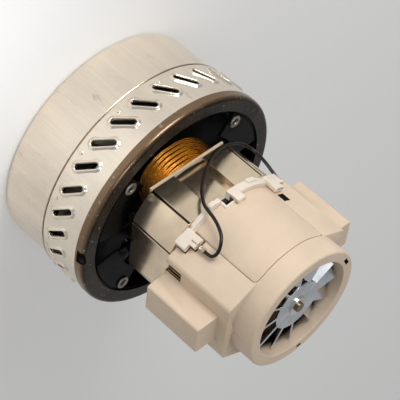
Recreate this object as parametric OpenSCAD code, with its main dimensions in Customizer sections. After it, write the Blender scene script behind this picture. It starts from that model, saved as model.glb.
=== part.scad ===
// Two-stage bypass vacuum motor, standing on its intake face.
// The shaft runs along +Z, from the intake at z = 0 to the cooling fan at the top.
// The two brush boxes lie along +X and -X. The field poles lie along +Y and -Y.

/* [Fan casing] */
// Outer radius of the intake can
can_r = 70.5; // [66:0.5:74]
// Sheet thickness of the intake can
can_wall = 0.9; // [0.7:0.1:1.4]
// Height of the intake can up to the seam under the slotted band
can_h = 35.9; // [34:0.1:38]
// Radius of the rolled edge between the can's floor and its wall
can_edge_r = 5; // [3:0.5:7]
// Length of can wall that laps up inside the slotted band
can_lap = 3; // [2:0.5:4]
// Radius of the air intake
intake_r = 23; // [20:0.5:25]
// Height of the collar round the intake
intake_collar_h = 5; // [4:0.5:6]

/* [Slotted band] */
// Sheet thickness of the slotted exhaust band
band_wall = 1.1; // [0.9:0.1:1.4]
// Height of the slotted band
band_h = 26.3; // [25:0.1:28]
// Number of exhaust slots
slot_count = 29; // [20:1:30]
// Length of a slot from end to end
slot_len = 14.6; // [10:0.2:16]
// Width of a slot
slot_w = 3.2; // [2.4:0.2:3.6]
// Lean of a slot from the vertical
slot_lean = 39; // [20:1:45]
// Height of the slots' centres above the seam
slot_rise = 10.9; // [10:0.1:12]
// Angle of one slot's centre
slot_phase = -55.8; // [-60:0.1:-50]

/* [End ring and motor bracket] */
// How far the steel end ring stands out past the slotted band
ring_lip = 0.35; // [0.2:0.05:0.8]
// Height of the end ring
ring_h = 6.2; // [5.5:0.1:7]
// Width of the end ring from its outer edge to its opening
ring_face_w = 9.5; // [8:0.5:11]
// Sheet thickness of the end ring
ring_wall = 1.3; // [1:0.1:1.6]
// Radius of the ring's rolled outer edge
ring_edge_r = 2.6; // [2:0.1:3]
// Width of the locating notch in the ring's edge
notch_w = 9; // [6:0.5:12]
// Depth of the locating notch, measured inwards from the ring's edge
notch_depth = 3; // [2:0.5:4]
// Angle of the locating notch
notch_angle = -3.7; // [-8:0.1:8]
// Sheet thickness of the dished bracket under the motor
dish_wall = 1.2; // [1:0.1:1.6]
// Depth of the dish below the end ring's face
dish_depth = 14.7; // [14:0.1:15.5]
// Sheet thickness of the spider that carries the stator
spider_wall = 1.5; // [1.2:0.1:2]
// Height of the spider's arms above the dish floor
arm_rise = 12.8; // [11:0.1:13.5]
// Distance of the eyelets' centres from the end ring's opening
eyelet_inset = 6; // [5.5:0.1:6.5]
// Angle of the eyelets from the brush axis
eyelet_angle = 46; // [44:0.5:47]
// Outer radius of an eyelet's flange
eyelet_r = 3.3; // [2.8:0.1:3.5]
// Radius of an eyelet's hole
eyelet_bore_r = 1.6; // [1.2:0.1:1.9]

/* [Rotor] */
// Radius of the shaft
shaft_r = 4; // [3.5:0.1:4.5]
// Length of the shaft that stands out under the first impeller's back plate
shaft_tail = 9; // [8:0.5:10]
// Gap between the impellers and the can's wall
impeller_gap = 7.6; // [6:0.2:10]
// Height of an impeller
impeller_h = 12; // [10:0.5:13]
// Sheet thickness of the impeller plates
impeller_wall = 1; // [0.8:0.1:1.4]
// Number of vanes in an impeller
vane_count = 7; // [5:1:9]
// Radius of an impeller's eye
eye_r = 25; // [22:0.5:27]
// Radius of the armature core
armature_r = 18.8; // [17:0.1:19.2]
// Number of slots in the armature core
armature_slots = 12; // [8:1:14]
// Radius of the commutator
commutator_r = 12.5; // [11:0.1:13.5]
// Length of the commutator
commutator_l = 24; // [20:0.5:26]
// Number of commutator bars
bar_count = 24; // [16:2:32]
// Outer radius of the ball bearings
bearing_r = 11; // [10:0.5:12]
// Width of the ball bearings
bearing_w = 7; // [6:0.5:8]

/* [Stator and field coils] */
// Radius of the stack's round corners, measured from the shaft
stack_r = 44; // [43.5:0.1:44.5]
// How far the stack's short sides are set in from its round corners
stack_cut_x = 3.8; // [3:0.1:4.5]
// How far the stack's long sides are set in from its round corners
stack_cut_y = 9.5; // [9:0.1:10]
// Length of the lamination stack
stack_l = 30.5; // [29:0.1:32]
// Gap between the end ring's face and the stack
stack_rise = 4.1; // [3.8:0.1:4.6]
// Air gap between the armature and the pole faces
air_gap = 0.7; // [0.4:0.1:1]
// Half width of the recess in the stack's long sides
recess_half_w = 10.5; // [8:0.5:12]
// Depth of the recess in the stack's long sides
recess_depth = 4.5; // [3:0.1:5]
// Thickness of the insulating plate at the fan end
insulator_wall = 1.5; // [1.2:0.1:2]
// Diameter of one strand of a field coil
strand_d = 1.2; // [1:0.05:1.4]
// Turns in each of a coil's two layers
layer_turns = 6; // [4:1:6]
// Half angle of a coil's widest turn, seen from the shaft
coil_angle = 56; // [54:0.5:57]
// Angle between neighbouring turns
coil_angle_step = 3.7; // [3.5:0.1:3.8]
// Distance of a coil's inner layer from the stack's long side
coil_inset = 5; // [4.5:0.1:5.5]
// Distance between a coil's two layers
layer_step = 1.9; // [1.8:0.05:2]
// How far the end turns bulge outwards at the fan end
coil_flare = 6.8; // [5:0.1:7]
// How far the end turns draw in at the commutator end
coil_draw = 2; // [1:0.1:3]
// Overhang of the tightest turn at the fan end
overhang_min = 3; // [2.5:0.1:3.5]
// Step in overhang between turns at the fan end
overhang_step = 2.2; // [2:0.05:2.2]
// Overhang of the tightest turn at the commutator end
back_min = 4; // [3.5:0.1:4.5]
// Step in overhang between turns at the commutator end
back_step = 1.9; // [1.8:0.05:2]
// Squareness of the end turns: 1 is an ellipse, less is squarer
arch_power = 0.75; // [0.7:0.01:0.85]

/* [End housing] */
// How far the round part of the end housing is set in from the stack's round corners
housing_inset = 4.8; // [4.5:0.1:5.5]
// Wall of the end housing
housing_wall = 2.4; // [2:0.1:2.8]
// Gap between the stack and the end housing, filled by the terminal frame
frame_gap = 3; // [2.5:0.1:3.5]
// How far the terminal frame stands out past the round part of the end housing
frame_step = 3.1; // [2.5:0.1:3.5]
// Height of the end housing from the terminal frame to the fan opening
housing_h = 61; // [58:0.5:64]
// Height of the plain ring round the cooling fan
shroud_h = 14; // [12:0.5:15]
// Width of the rim round the fan opening
rim_w = 7.2; // [6.5:0.1:8]
// How far the brush blocks stand out past the terminal frame
block_step = 2.1; // [1.8:0.1:2.5]
// Half width of the brush blocks
block_half_y = 21.8; // [20:0.1:22.5]
// Radius of the brush blocks' outer edges
block_edge_r = 3.5; // [2.5:0.1:4.5]
// Angle from the brush axis at which a block's side leaves the round wall
block_angle = 48.5; // [46:0.5:50]
// Half distance over the outer ends of the brush boxes
box_half_x = 59.2; // [58:0.1:60]
// Half width of the brush boxes
box_half_y = 9.8; // [9:0.1:10.5]
// Height of the brush boxes
box_h = 39.4; // [37:0.1:41]
// Radius of the brush boxes' upright edges
box_edge_r = 1.6; // [1:0.1:2]
// Thickness of the brush boxes' walls
box_wall = 1.8; // [1.4:0.1:2.2]
// Gap along the seams of the two side panels
seam_gap = 0.25; // [0.15:0.05:0.4]

/* [Brushes] */
// Width of a carbon brush round the commutator
brush_w = 6.3; // [5:0.1:6.5]
// Height of a carbon brush along the shaft
brush_h = 11; // [10:0.1:12]
// Room for a brush spring between the brush and its cap
spring_room = 13.7; // [13:0.1:15]
// Wall of the brass brush tubes
tube_wall = 0.8; // [0.6:0.1:1]
// Outer radius of a brush spring
spring_r = 2.7; // [2.4:0.1:2.8]
// Wire diameter of a brush spring
spring_wire_d = 0.7; // [0.6:0.05:0.8]
// Number of curls in a brush spring
spring_curls = 8; // [6:1:8]

/* [Cooling fan and lead] */
// Gap between the cooling fan and the fan opening
fan_gap = 2; // [1.5:0.1:3]
// Radius of the cooling fan's flat centre
fan_hub_r = 16; // [14:0.5:18]
// Number of cooling fan blades
blade_count = 12; // [9:1:13]
// Pitch of the blades
blade_pitch = 35; // [25:1:45]
// Width of a blade at its tip
blade_w = 10; // [8:0.5:11]
// Sheet thickness of the cooling fan
fan_wall = 0.9; // [0.7:0.1:1.2]
// Depth of the cooling fan's flat centre below the fan opening
fan_sink = 4; // [3.5:0.1:5]
// Diameter of the lead
lead_d = 2; // [1.8:0.1:2.2]

/* [Hidden] */
$fn = 96;

// General clearances
seat_gap = 0.05;
fit_gap = 0.02;
run_gap = 0.3;
through = 1;

// Levels along the shaft
band_z = can_h;
ring_z = band_z + band_h;
ring_top = ring_z + ring_h;
dish_z = ring_top - dish_depth;
stack_z = ring_top + stack_rise;
stack_top = stack_z + stack_l;
housing_z = stack_top + frame_gap;
housing_top = housing_z + housing_h;
shroud_z = housing_top - shroud_h;

// Fan casing
band_in_r = can_r + seat_gap;
band_r = band_in_r + band_wall;
can_in_r = can_r - can_wall;
ring_r = band_r + ring_lip;
ring_hole_r = ring_r - ring_face_w;
dish_r = ring_hole_r - seat_gap;
flange_z = ring_top - ring_wall - seat_gap - dish_wall;
flange_r = ring_r - ring_wall - ring_edge_r;

// Fan stages
impeller_r = can_in_r - impeller_gap;
running_space = 2.5;
stage_2_top = dish_z - dish_wall - 2 * running_space;
stage_2_z = stage_2_top - impeller_h;
guide_wall = 1.2;
guide_top = stage_2_z - running_space;
guide_h = 10;
guide_z = guide_top - guide_h;
guide_rim = 5;
stage_1_top = guide_z - running_space;
stage_1_z = stage_1_top - impeller_h;
vane_wall = 1;
vane_turn = 50;
vane_steps = 6;
spacer_wall = 3;
spacer_r = shaft_r + spacer_wall;
bearing_spacer_wall = 1.8;
washer_r = 11;
washer_h = 1.5;
nut_r = 7.5;
nut_h = 6;
nut_sides = 6;

// Bearings
ring_share = 0.32;
bearing_wall = (bearing_r - shaft_r) * ring_share;
bearing_gap = 0.05;
cup_wall = 2;
cup_lip = 1;
dish_bore_r = spacer_r;
front_bearing_z = dish_z + cup_lip;
rear_bearing_z = shroud_z - cup_lip - bearing_w;

// Stack outline
stack_half_x = stack_r - stack_cut_x;
stack_half_y = stack_r - stack_cut_y;

// Spider
arm_z = dish_z + arm_rise;
arm_top = arm_z + spider_wall;
arm_clear = 1;
arm_in_r = stack_r + arm_clear;
arm_out_r = dish_r - dish_wall - run_gap;
arm_from = 10;
arm_past_eyelet = 5;
arm_to = eyelet_angle + arm_past_eyelet;
pad_from = 12;
pad_to = 28;
pad_inset = 0.5;
pad_w = 6;
pad_r = stack_half_x;
pad_in_r = pad_r - pad_w;
pad_top = stack_z - seat_gap;
base_in_r = arm_out_r - pad_w;
eyelet_circle_r = ring_hole_r - eyelet_inset;
eyelet_flange_h = 1.4;
eyelet_wall = 0.7;
eyelet_shank_r = eyelet_bore_r + eyelet_wall;
eyelet_shank_l = 4;

// Stator bolts
bolt_inset = 4.7;
bolt_x = stack_half_x - bolt_inset;
bolt_y = 11.5;
bolt_r = 1.8;
bolt_head_r = 3.2;
bolt_head_h = 2.2;
bolt_hold = 10;
bolt_z = arm_z - bolt_head_h;
bolt_top = housing_z + bolt_hold;
boss_r = 3.4;

// Armature and commutator
stator_bore_r = armature_r + air_gap;
slot_depth = 4.4;
slot_circle_r = armature_r - slot_depth;
armature_slot_r = 2.6;
slot_mouth = 1.6;
turn_gap = 0.4;
end_turn_h = 7.5;
end_turn_in_r = 8;
end_turn_r = armature_r - slot_mouth;
box_lift = 0.2;
box_z = housing_z + box_lift;
brush_z = box_z + box_h / 2;
commutator_z = brush_z - commutator_l / 2;
commutator_core_r = 8;
riser_h = 2;
riser_r = commutator_r + riser_h;
bar_cut = 0.6;
bar_cut_depth = 1;

// Field coils
coil_turns = 2 * layer_turns - 0.5;
arch_rings = 12;
loop_rings = 2 * arch_rings;
strand_sides = 6;
coil_r = stack_half_y - coil_inset;
window_gap = 0.6;
window_in_r = coil_r - strand_d / 2 - window_gap;
window_r = coil_r + layer_step + strand_d / 2 + window_gap;
window_spread = 3;
window_to = coil_angle + window_spread;
window_from = coil_angle - coil_angle_step * layer_turns - window_spread;
plate_lip = 0.5;
overhang_max = overhang_min + overhang_step * layer_turns;
back_max = back_min + back_step * layer_turns;
lead_tab_h = 2;
lead_tab_side = 1.4;
lead_tab_reach = 4;
lead_up = 2;

// Terminal frame
housing_r = stack_r - housing_inset;
frame_w = 7.5;
frame_r = housing_r + frame_step;
frame_in_r = frame_r - frame_w;
frame_notch_from = 1.5;
frame_notch_to = 7.3;
frame_notch_wall = 1.7;
frame_notch_r = frame_in_r + frame_notch_wall;
frame_rim_h = 5.2;
frame_rim_from = -129;
frame_rim_to = -97;
frame_tab_h = 9.4;
frame_tab_from = -97;
frame_tab_to = -88.5;
frame_tooth_step = 1.5;
frame_tooth_sink = 0.5;
frame_teeth = [[-75, -68.5], [-117, -107]];
terminal_from = 0.6;
terminal_to = 12;
terminal_step_at = 7.6;
terminal_out = 4;
terminal_h = 11.2;
terminal_low_h = 7.5;
terminal_foot = 4;
spade_wall = 0.8;
spade_w = 3.6;
spade_l = 9;
spade_at = 4.9;
spade_out = 2;
slot_at = 9.9;
barrel_l = 4;
barrel_wall = 0.6;
barrel_sides = 24;

// End housing
housing_in_r = housing_r - housing_wall;
fan_opening_r = housing_r - rim_w;
block_half_x = frame_r + block_step;
block_rise = 1.5;
block_z = stack_top + block_rise;
block_top = shroud_z - box_lift;
panel_z = housing_z;
panel_drop = 0.6;
panel_top = shroud_z - panel_drop;
panel_angle = 90 - block_angle;
panel_notch_from = -91;
panel_notch_to = -80;
panel_notch_h = 4;
panel_corner_r = 3.5;
rim_edge_r = 1.5;
block_wall = 2;
edge_tuck = 0.01;
block_face_wall = 3.4;
block_cave_x = block_half_x - block_face_wall;
window_y_from = -16.4;
window_y_to = -10.4;
window_h = 11.4;
window_depth = 2.6;
strip_w = 1;
strip_x = 2;
strip_count = 3;
pocket_from = 2.3;
pocket_to = 7.4;
pocket_z = 115.4;
pocket_h = 5.6;
pocket_depth = 2.4;
cup_spoke_w = 6;
cup_spoke_h = 5;
cup_spoke_angle = 38;
key_hole_w = 3;
key_hole_depth = 4;
key_hole_inset = 3.7;
key_hole_r = housing_r - key_hole_inset;
key_hole_angles = [95.4, -152];

// Brushes
brush_gap = 0.3;
brush_tip_r = commutator_r + brush_gap;
tube_in_w = brush_w + 2 * brush_gap;
tube_in_h = brush_h + 2 * brush_gap;
tube_out_w = tube_in_w + 2 * tube_wall;
tube_out_h = tube_in_h + 2 * tube_wall;
tube_rise = 5;
tube_from = brush_tip_r + tube_rise;
tube_to = box_half_x - box_wall - run_gap;
cap_h = 1.6;
cap_from = tube_to - cap_h;
brush_end = cap_from - spring_room;
channel_wall = 1.8;
duct_set_back = 12;
duct_from = tube_from + duct_set_back;
spring_sides = 6;
spring_rings = 8;
spring_from = brush_end + spring_wire_d / 2 + seat_gap;
spring_to = cap_from - spring_wire_d / 2 - seat_gap;

// Cooling fan
fan_r = fan_opening_r - fan_gap;
fan_z = housing_top - fan_sink;
blade_root_w = 5.5;
blade_root_in = 1.5;
ferrule_r = 5;
ferrule_h = 5;
ferrule_flare = 1;
shaft_end_step = 1;
shaft_end_r = shaft_r - shaft_end_step;
shaft_end_rise = 2.4;
shaft_top = fan_z + shaft_end_rise;
shaft_end_z = fan_z - ferrule_h;
shaft_bottom = stage_1_top - shaft_tail;

// Lead: distance out from the housing's round wall, angle, and height over the housing's foot, for each
// point of its route from the terminal, over the stack's corner, to the left brush block
LEAD_STEPS = [
    [3.82, -43.12, 13.5], [3.82, -43.12, 15.5], [4.22, -44.07, 18.6], [5, -48.3, 20.4],
    [5.77, -54.05, 19.4], [5.9, -59.34, 16], [5.97, -62.87, 11], [6.17, -65.24, 5.5],
    [6.3, -66.42, 0.5], [5.92, -67.87, -3.6], [4.88, -71.48, -8.2], [3.93, -76.87, -13],
    [3.77, -83.59, -17], [4.23, -92.11, -21.2], [4.77, -102.08, -25], [5.7, -111.42, -27.2],
    [6.77, -120.02, -28.4], [8.13, -127.79, -28.4], [9.32, -136.17, -27.6],
    [10.32, -142.71, -25], [10.61, -146.63, -20], [9.95, -151.04, -14],
    [8.83, -154.08, -8.4], [7.96, -155.17, -4.5], [7.96, -155.17, -1.52]
];
LEAD_ROUTE = [for (p = LEAD_STEPS)
    let (r = housing_r + p[0]) [r * cos(p[1]), r * sin(p[1]), housing_z + p[2]]];
lead_sides = 8;

// Unit vector along v
function unit(v) = v / norm(v);

// Direction of a path at its point i
function heading(path, i) =
    unit(path[min(i + 1, len(path) - 1)] - path[max(i - 1, 0)]);

// Part of reference direction w that is square to direction t
function square_to(w, t) = unit(w - (w * t) * t);

// One ring of points round a path's point
function ring_points(centre, t, w, r, sides) =
    let (n = square_to(w, t), b = cross(t, n))
    [for (k = [0:sides - 1]) centre + r * (cos(360 * k / sides) * n + sin(360 * k / sides) * b)];

// Smallest distance between the centre lines of parts of a path that lie over skip points apart
function least_distance(path, skip) =
    min([for (i = [0:len(path) - 1 - skip])
        min([for (j = [i + skip:len(path) - 1]) norm(path[i] - path[j])])]);

// One unbroken tube along a path; refs gives each ring a direction to start from
module tube_along(path, refs, d, sides) {
    n = len(path);
    points = [for (i = [0:n - 1]) each ring_points(path[i], heading(path, i), refs[i], d / 2, sides)];
    walls = [for (i = [0:n - 2], k = [0:sides - 1])
        let (a = i * sides + k, b = i * sides + (k + 1) % sides, c = a + sides, e = b + sides)
        each [[a, c, e], [a, e, b]]];
    start_cap = [for (k = [1:sides - 2]) [0, k, k + 1]];
    last = (n - 1) * sides;
    end_cap = [for (k = [1:sides - 2]) [last, last + k + 1, last + k]];
    polyhedron(points = points, faces = concat(walls, start_cap, end_cap), convexity = 10);
}

// Plain cylindrical wall between two radii
module wall_ring(r_out, r_in, h) {
    difference() {
        cylinder(r = r_out, h = h);
        translate([0, 0, -through]) cylinder(r = r_in, h = h + 2 * through);
    }
}

// Flat wedge from one angle to another, reaching past radius r
module wedge(r, from, to) {
    reach = 2 * r;
    polygon([[0, 0], reach * [cos(from), sin(from)],
        reach * [cos((from + to) / 2), sin((from + to) / 2)], reach * [cos(to), sin(to)]]);
}

// Flat sector of a ring
module sector(r_out, r_in, from, to) {
    intersection() {
        difference() {
            circle(r = r_out);
            circle(r = r_in);
        }
        wedge(r_out, from, to);
    }
}

// Flat rectangle with round corners, centred
module round_rect(x, y, r) {
    square([x, y - 2 * r], center = true);
    square([x - 2 * r, y], center = true);
    for (sx = [-1, 1], sy = [-1, 1]) translate([sx * (x / 2 - r), sy * (y / 2 - r)]) circle(r = r);
}

// Repeats its children in the four quadrants
module four_ways() {
    for (sx = [0, 1], sy = [0, 1]) mirror([sx, 0, 0]) mirror([0, sy, 0]) children();
}

// Drawn cup with a rolled edge and a collared intake in its floor
module fan_can() {
    color("silver") difference() {
        rotate_extrude() {
            difference() {
                translate([intake_r, 0]) square([can_r - intake_r, can_h + can_lap]);
                translate([intake_r + can_wall, can_wall])
                    square([can_in_r - can_edge_r - intake_r - can_wall, can_h + can_lap]);
                translate([intake_r, can_edge_r])
                    square([can_in_r - intake_r, can_h + can_lap]);
                translate([can_in_r - can_edge_r + can_wall, can_edge_r])
                    circle(r = can_edge_r - can_wall);
                difference() {
                    translate([can_r - can_edge_r, 0]) square([can_edge_r, can_edge_r]);
                    translate([can_r - can_edge_r, can_edge_r]) circle(r = can_edge_r);
                }
            }
            translate([intake_r, 0]) square([can_wall, intake_collar_h]);
        }
    }
}

// Slot outline cut through the band's wall
module exhaust_slot() {
    translate([can_in_r, 0, 0]) rotate([slot_lean, 0, 0]) rotate([0, 90, 0])
        linear_extrude(height = band_r - can_in_r + through) {
            square([slot_len - slot_w, slot_w], center = true);
            for (s = [-1, 1]) translate([s * (slot_len - slot_w) / 2, 0]) circle(d = slot_w);
        }
}

// Slotted ring that the working air leaves through
module exhaust_band() {
    color("gainsboro") difference() {
        translate([0, 0, band_z]) wall_ring(band_r, band_in_r, band_h);
        for (i = [0:slot_count - 1])
            rotate([0, 0, slot_phase + 360 * i / slot_count])
                translate([0, 0, band_z + slot_rise]) exhaust_slot();
    }
}

// Steel ring with a rolled edge that closes the casing
module end_ring() {
    color("dimgray") difference() {
        rotate_extrude() {
            translate([ring_r - ring_wall, ring_z]) square([ring_wall, ring_h - ring_edge_r]);
            translate([ring_hole_r, ring_top - ring_wall])
                square([ring_r - ring_edge_r - ring_hole_r, ring_wall]);
            intersection() {
                difference() {
                    translate([ring_r - ring_edge_r, ring_top - ring_edge_r]) circle(r = ring_edge_r);
                    translate([ring_r - ring_edge_r, ring_top - ring_edge_r])
                        circle(r = ring_edge_r - ring_wall);
                }
                translate([ring_r - ring_edge_r, ring_top - ring_edge_r])
                    square([ring_edge_r, ring_edge_r]);
            }
        }
        rotate([0, 0, notch_angle])
            translate([ring_r - notch_depth, -notch_w / 2, ring_z + ring_wall])
                cube([notch_depth + through, notch_w, ring_h]);
    }
}

// Dished bracket under the motor, with the cup of the fan-end bearing
module bracket_dish() {
    color([0.07, 0.07, 0.07]) rotate_extrude() {
        translate([dish_bore_r, dish_z - dish_wall]) square([dish_r - dish_bore_r, dish_wall]);
        translate([dish_r - dish_wall, dish_z - dish_wall])
            square([dish_wall, flange_z + 2 * dish_wall - dish_z]);
        translate([dish_r - dish_wall, flange_z]) square([flange_r - dish_r + dish_wall, dish_wall]);
        translate([dish_bore_r, dish_z]) square([bearing_r + cup_wall - dish_bore_r, cup_lip]);
        translate([bearing_r + seat_gap, dish_z])
            square([cup_wall - seat_gap, cup_lip + bearing_w]);
    }
}

// One arm of the spider, in the first quadrant
module spider_arm() {
    difference() {
        union() {
            translate([0, 0, arm_z]) linear_extrude(height = spider_wall) {
                sector(arm_out_r, arm_in_r, arm_from, arm_to);
                sector(arm_in_r + arm_clear, pad_in_r, pad_from, pad_to);
            }
            translate([0, 0, arm_z]) linear_extrude(height = pad_top - arm_z)
                sector(pad_r, pad_in_r + pad_inset, pad_from + pad_inset, pad_to - pad_inset);
            translate([0, 0, dish_z + seat_gap]) linear_extrude(height = arm_top - dish_z - seat_gap)
                sector(arm_out_r, arm_out_r - spider_wall, arm_from, arm_to);
        }
        translate([bolt_x, bolt_y, 0]) cylinder(r = bolt_r + seat_gap, h = stack_z);
        rotate([0, 0, eyelet_angle]) translate([eyelet_circle_r, 0, 0])
            cylinder(r = eyelet_shank_r + fit_gap, h = stack_z);
    }
}

// Four-armed pressing that stands in the dish and carries the stator
module motor_spider() {
    color([0.1, 0.1, 0.1]) {
        translate([0, 0, dish_z + seat_gap]) wall_ring(arm_out_r, base_in_r, spider_wall);
        four_ways() spider_arm();
    }
}

// Tubular rivets in the corners of the spider's arms
module eyelets() {
    color("darkgray") four_ways()
        rotate([0, 0, eyelet_angle]) translate([eyelet_circle_r, 0, 0]) {
            translate([0, 0, arm_top + fit_gap]) wall_ring(eyelet_r, eyelet_bore_r, eyelet_flange_h);
            translate([0, 0, arm_top - eyelet_shank_l])
                wall_ring(eyelet_shank_r, eyelet_bore_r, eyelet_shank_l + fit_gap);
        }
}

// Curved vane standing on a plate, from radius r_in to radius r_out
module curved_vane(r_in, r_out, wall, turn, h) {
    side = [for (i = [0:vane_steps])
        let (s = i / vane_steps, r = r_in + (r_out - r_in) * s, a = turn * s) [r, a]];
    outer = [for (p = side) p[0] * [cos(p[1]), sin(p[1])]];
    inner = [for (i = [vane_steps:-1:0])
        let (p = side[i], a = p[1] + 180 * wall / (PI * p[0])) p[0] * [cos(a), sin(a)]];
    linear_extrude(height = h) polygon(concat(outer, inner));
}

// Fixed guide between the stages: two plates with return vanes between them
module diffuser() {
    color("lightgray") {
        translate([0, 0, guide_z]) wall_ring(can_in_r - guide_rim, spacer_r + running_space, guide_wall);
        translate([0, 0, guide_top - guide_wall]) wall_ring(can_in_r - seat_gap, eye_r, guide_wall);
        for (i = [0:vane_count - 1]) rotate([0, 0, 360 * i / vane_count])
            translate([0, 0, guide_z + guide_wall / 2])
                curved_vane(eye_r + running_space, can_in_r - guide_rim - vane_wall, vane_wall,
                    -vane_turn, guide_h - guide_wall);
    }
}

// Closed radial impeller with its eye facing the intake
module impeller(z) {
    translate([0, 0, z]) {
        wall_ring(impeller_r, eye_r, impeller_wall);
        translate([0, 0, impeller_h - impeller_wall])
            wall_ring(impeller_r, shaft_r + fit_gap, impeller_wall);
        for (i = [0:vane_count - 1]) rotate([0, 0, 360 * i / vane_count])
            translate([0, 0, impeller_wall / 2])
                curved_vane(eye_r + vane_wall, impeller_r - vane_wall, vane_wall, vane_turn,
                    impeller_h - impeller_wall);
    }
}

module impeller_1() {
    color("silver") impeller(stage_1_z);
}

module impeller_2() {
    color("silver") impeller(stage_2_z);
}

// Sleeve that holds the two impellers apart
module impeller_spacer() {
    color("gray") translate([0, 0, stage_1_top + fit_gap])
        wall_ring(spacer_r, shaft_r + fit_gap, stage_2_top - impeller_wall - stage_1_top - 2 * fit_gap);
}

// Sleeve between the second impeller and the fan-end bearing
module bearing_spacer() {
    color("gray") translate([0, 0, stage_2_top + fit_gap])
        wall_ring(shaft_r + bearing_spacer_wall, shaft_r + fit_gap,
            front_bearing_z - stage_2_top - 2 * fit_gap);
}

// Washer under the first impeller's back plate
module clamp_washer() {
    color("gray") translate([0, 0, stage_1_top - impeller_wall - fit_gap - washer_h])
        wall_ring(washer_r, shaft_r + fit_gap, washer_h);
}

// Nut that clamps the impellers on the shaft
module shaft_nut() {
    color("darkgray") translate([0, 0, stage_1_top - impeller_wall - 2 * fit_gap - washer_h - nut_h])
        difference() {
            cylinder(r = nut_r, h = nut_h, $fn = nut_sides);
            translate([0, 0, -through]) cylinder(r = shaft_r + fit_gap, h = nut_h + 2 * through);
        }
}

// Shaft from the nut to the cooling fan
module shaft() {
    color("lightsteelblue") {
        translate([0, 0, shaft_bottom]) cylinder(r = shaft_r, h = shaft_end_z - shaft_bottom);
        translate([0, 0, shaft_bottom]) cylinder(r = shaft_end_r, h = shaft_top - shaft_bottom);
    }
}

// Outer ring of a ball bearing, with a shield on each face
module bearing_outer(z) {
    shield_r = shaft_r + bearing_wall + 2 * bearing_gap;
    translate([0, 0, z]) difference() {
        cylinder(r = bearing_r, h = bearing_w);
        translate([0, 0, -through]) cylinder(r = shield_r, h = bearing_w + 2 * through);
        translate([0, 0, cup_lip / 2])
            cylinder(r = bearing_r - bearing_wall, h = bearing_w - cup_lip);
    }
}

// Inner ring of a ball bearing
module bearing_inner(z) {
    translate([0, 0, z]) wall_ring(shaft_r + bearing_wall, shaft_r + fit_gap, bearing_w);
}

module fan_bearing_outer() {
    color("silver") bearing_outer(front_bearing_z);
}

module fan_bearing_inner() {
    color("silver") bearing_inner(front_bearing_z);
}

module rear_bearing_outer() {
    color("silver") bearing_outer(rear_bearing_z);
}

module rear_bearing_inner() {
    color("silver") bearing_inner(rear_bearing_z);
}

// Laminated core with open slots for the winding
module armature_core() {
    color("gray") translate([0, 0, stack_z]) linear_extrude(height = stack_l) difference() {
        circle(r = armature_r);
        circle(r = shaft_r + fit_gap);
        for (i = [0:armature_slots - 1]) rotate(360 * i / armature_slots) {
            translate([slot_circle_r, 0]) circle(r = armature_slot_r);
            translate([slot_circle_r, -slot_mouth / 2]) square([armature_r, slot_mouth]);
        }
    }
}

// Armature winding: a bar in each slot and a ring of end turns at each end
module armature_winding() {
    color("peru") {
        for (z = [stack_z - turn_gap - end_turn_h, stack_top + turn_gap])
            translate([0, 0, z]) wall_ring(end_turn_r, end_turn_in_r, end_turn_h);
        for (i = [0:armature_slots - 1]) rotate([0, 0, 360 * i / armature_slots])
            translate([slot_circle_r, 0, stack_z - turn_gap - through])
                cylinder(r = armature_slot_r - fit_gap, h = stack_l + 2 * turn_gap + 2 * through);
    }
}

// Copper bars with a riser that takes the winding's ends
module commutator() {
    color("chocolate") difference() {
        translate([0, 0, commutator_z]) union() {
            wall_ring(commutator_r, commutator_core_r + fit_gap, commutator_l);
            wall_ring(riser_r, commutator_core_r + fit_gap, riser_h);
        }
        for (i = [0:bar_count - 1]) rotate([0, 0, 360 * i / bar_count])
            translate([commutator_r - bar_cut_depth, -bar_cut / 2, commutator_z - through])
                cube([bar_cut_depth + riser_r, bar_cut, commutator_l + 2 * through]);
    }
}

// Moulded core between the commutator bars and the shaft
module commutator_hub() {
    color("saddlebrown") translate([0, 0, commutator_z])
        wall_ring(commutator_core_r, shaft_r + fit_gap, commutator_l);
}

// One pitched blade, lanced from the fan's sheet
module fan_blade() {
    rotate([-blade_pitch, 0, 0]) translate([0, 0, -fan_wall]) linear_extrude(height = fan_wall)
        polygon([[fan_hub_r - blade_root_in, 0], [fan_r, 0], [fan_r, blade_w],
            [fan_hub_r + blade_root_in, blade_root_w], [fan_hub_r - blade_root_in, blade_root_w / 2]]);
}

// Stamped fan that draws cooling air into the motor
module cooling_fan() {
    color("lightblue") {
        translate([0, 0, fan_z - fan_wall]) wall_ring(fan_hub_r, ferrule_r + fit_gap, fan_wall);
        for (i = [0:blade_count - 1]) rotate([0, 0, 360 * i / blade_count])
            translate([0, 0, fan_z]) fan_blade();
    }
}

// Bush that fixes the cooling fan on the shaft
module fan_ferrule() {
    color("gainsboro") {
        translate([0, 0, shaft_end_z + fit_gap])
            wall_ring(ferrule_r, shaft_end_r + fit_gap, ferrule_h + ferrule_flare - fit_gap);
        translate([0, 0, fan_z + fit_gap])
            wall_ring(ferrule_r + ferrule_flare, shaft_end_r + fit_gap, ferrule_flare - fit_gap);
    }
}

// Outline of the lamination stack: a rectangle with round corners struck from the shaft
module stack_outline() {
    intersection() {
        circle(r = stack_r);
        square([2 * stack_half_x, 2 * stack_half_y], center = true);
    }
}

// Openings for the four coil sides, made larger by gap all round and by spread at the pole
module coil_windows(gap, spread) {
    for (s = [-90, 90], side = [0, 1])
        rotate(s) mirror([0, side])
            sector(window_r + gap, window_in_r - gap, window_from - spread, window_to);
}

// Repeats its children at the four stator bolts
module at_bolts() {
    for (sx = [-1, 1], sy = [-1, 1]) translate([sx * bolt_x, sy * bolt_y]) children();
}

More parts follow.
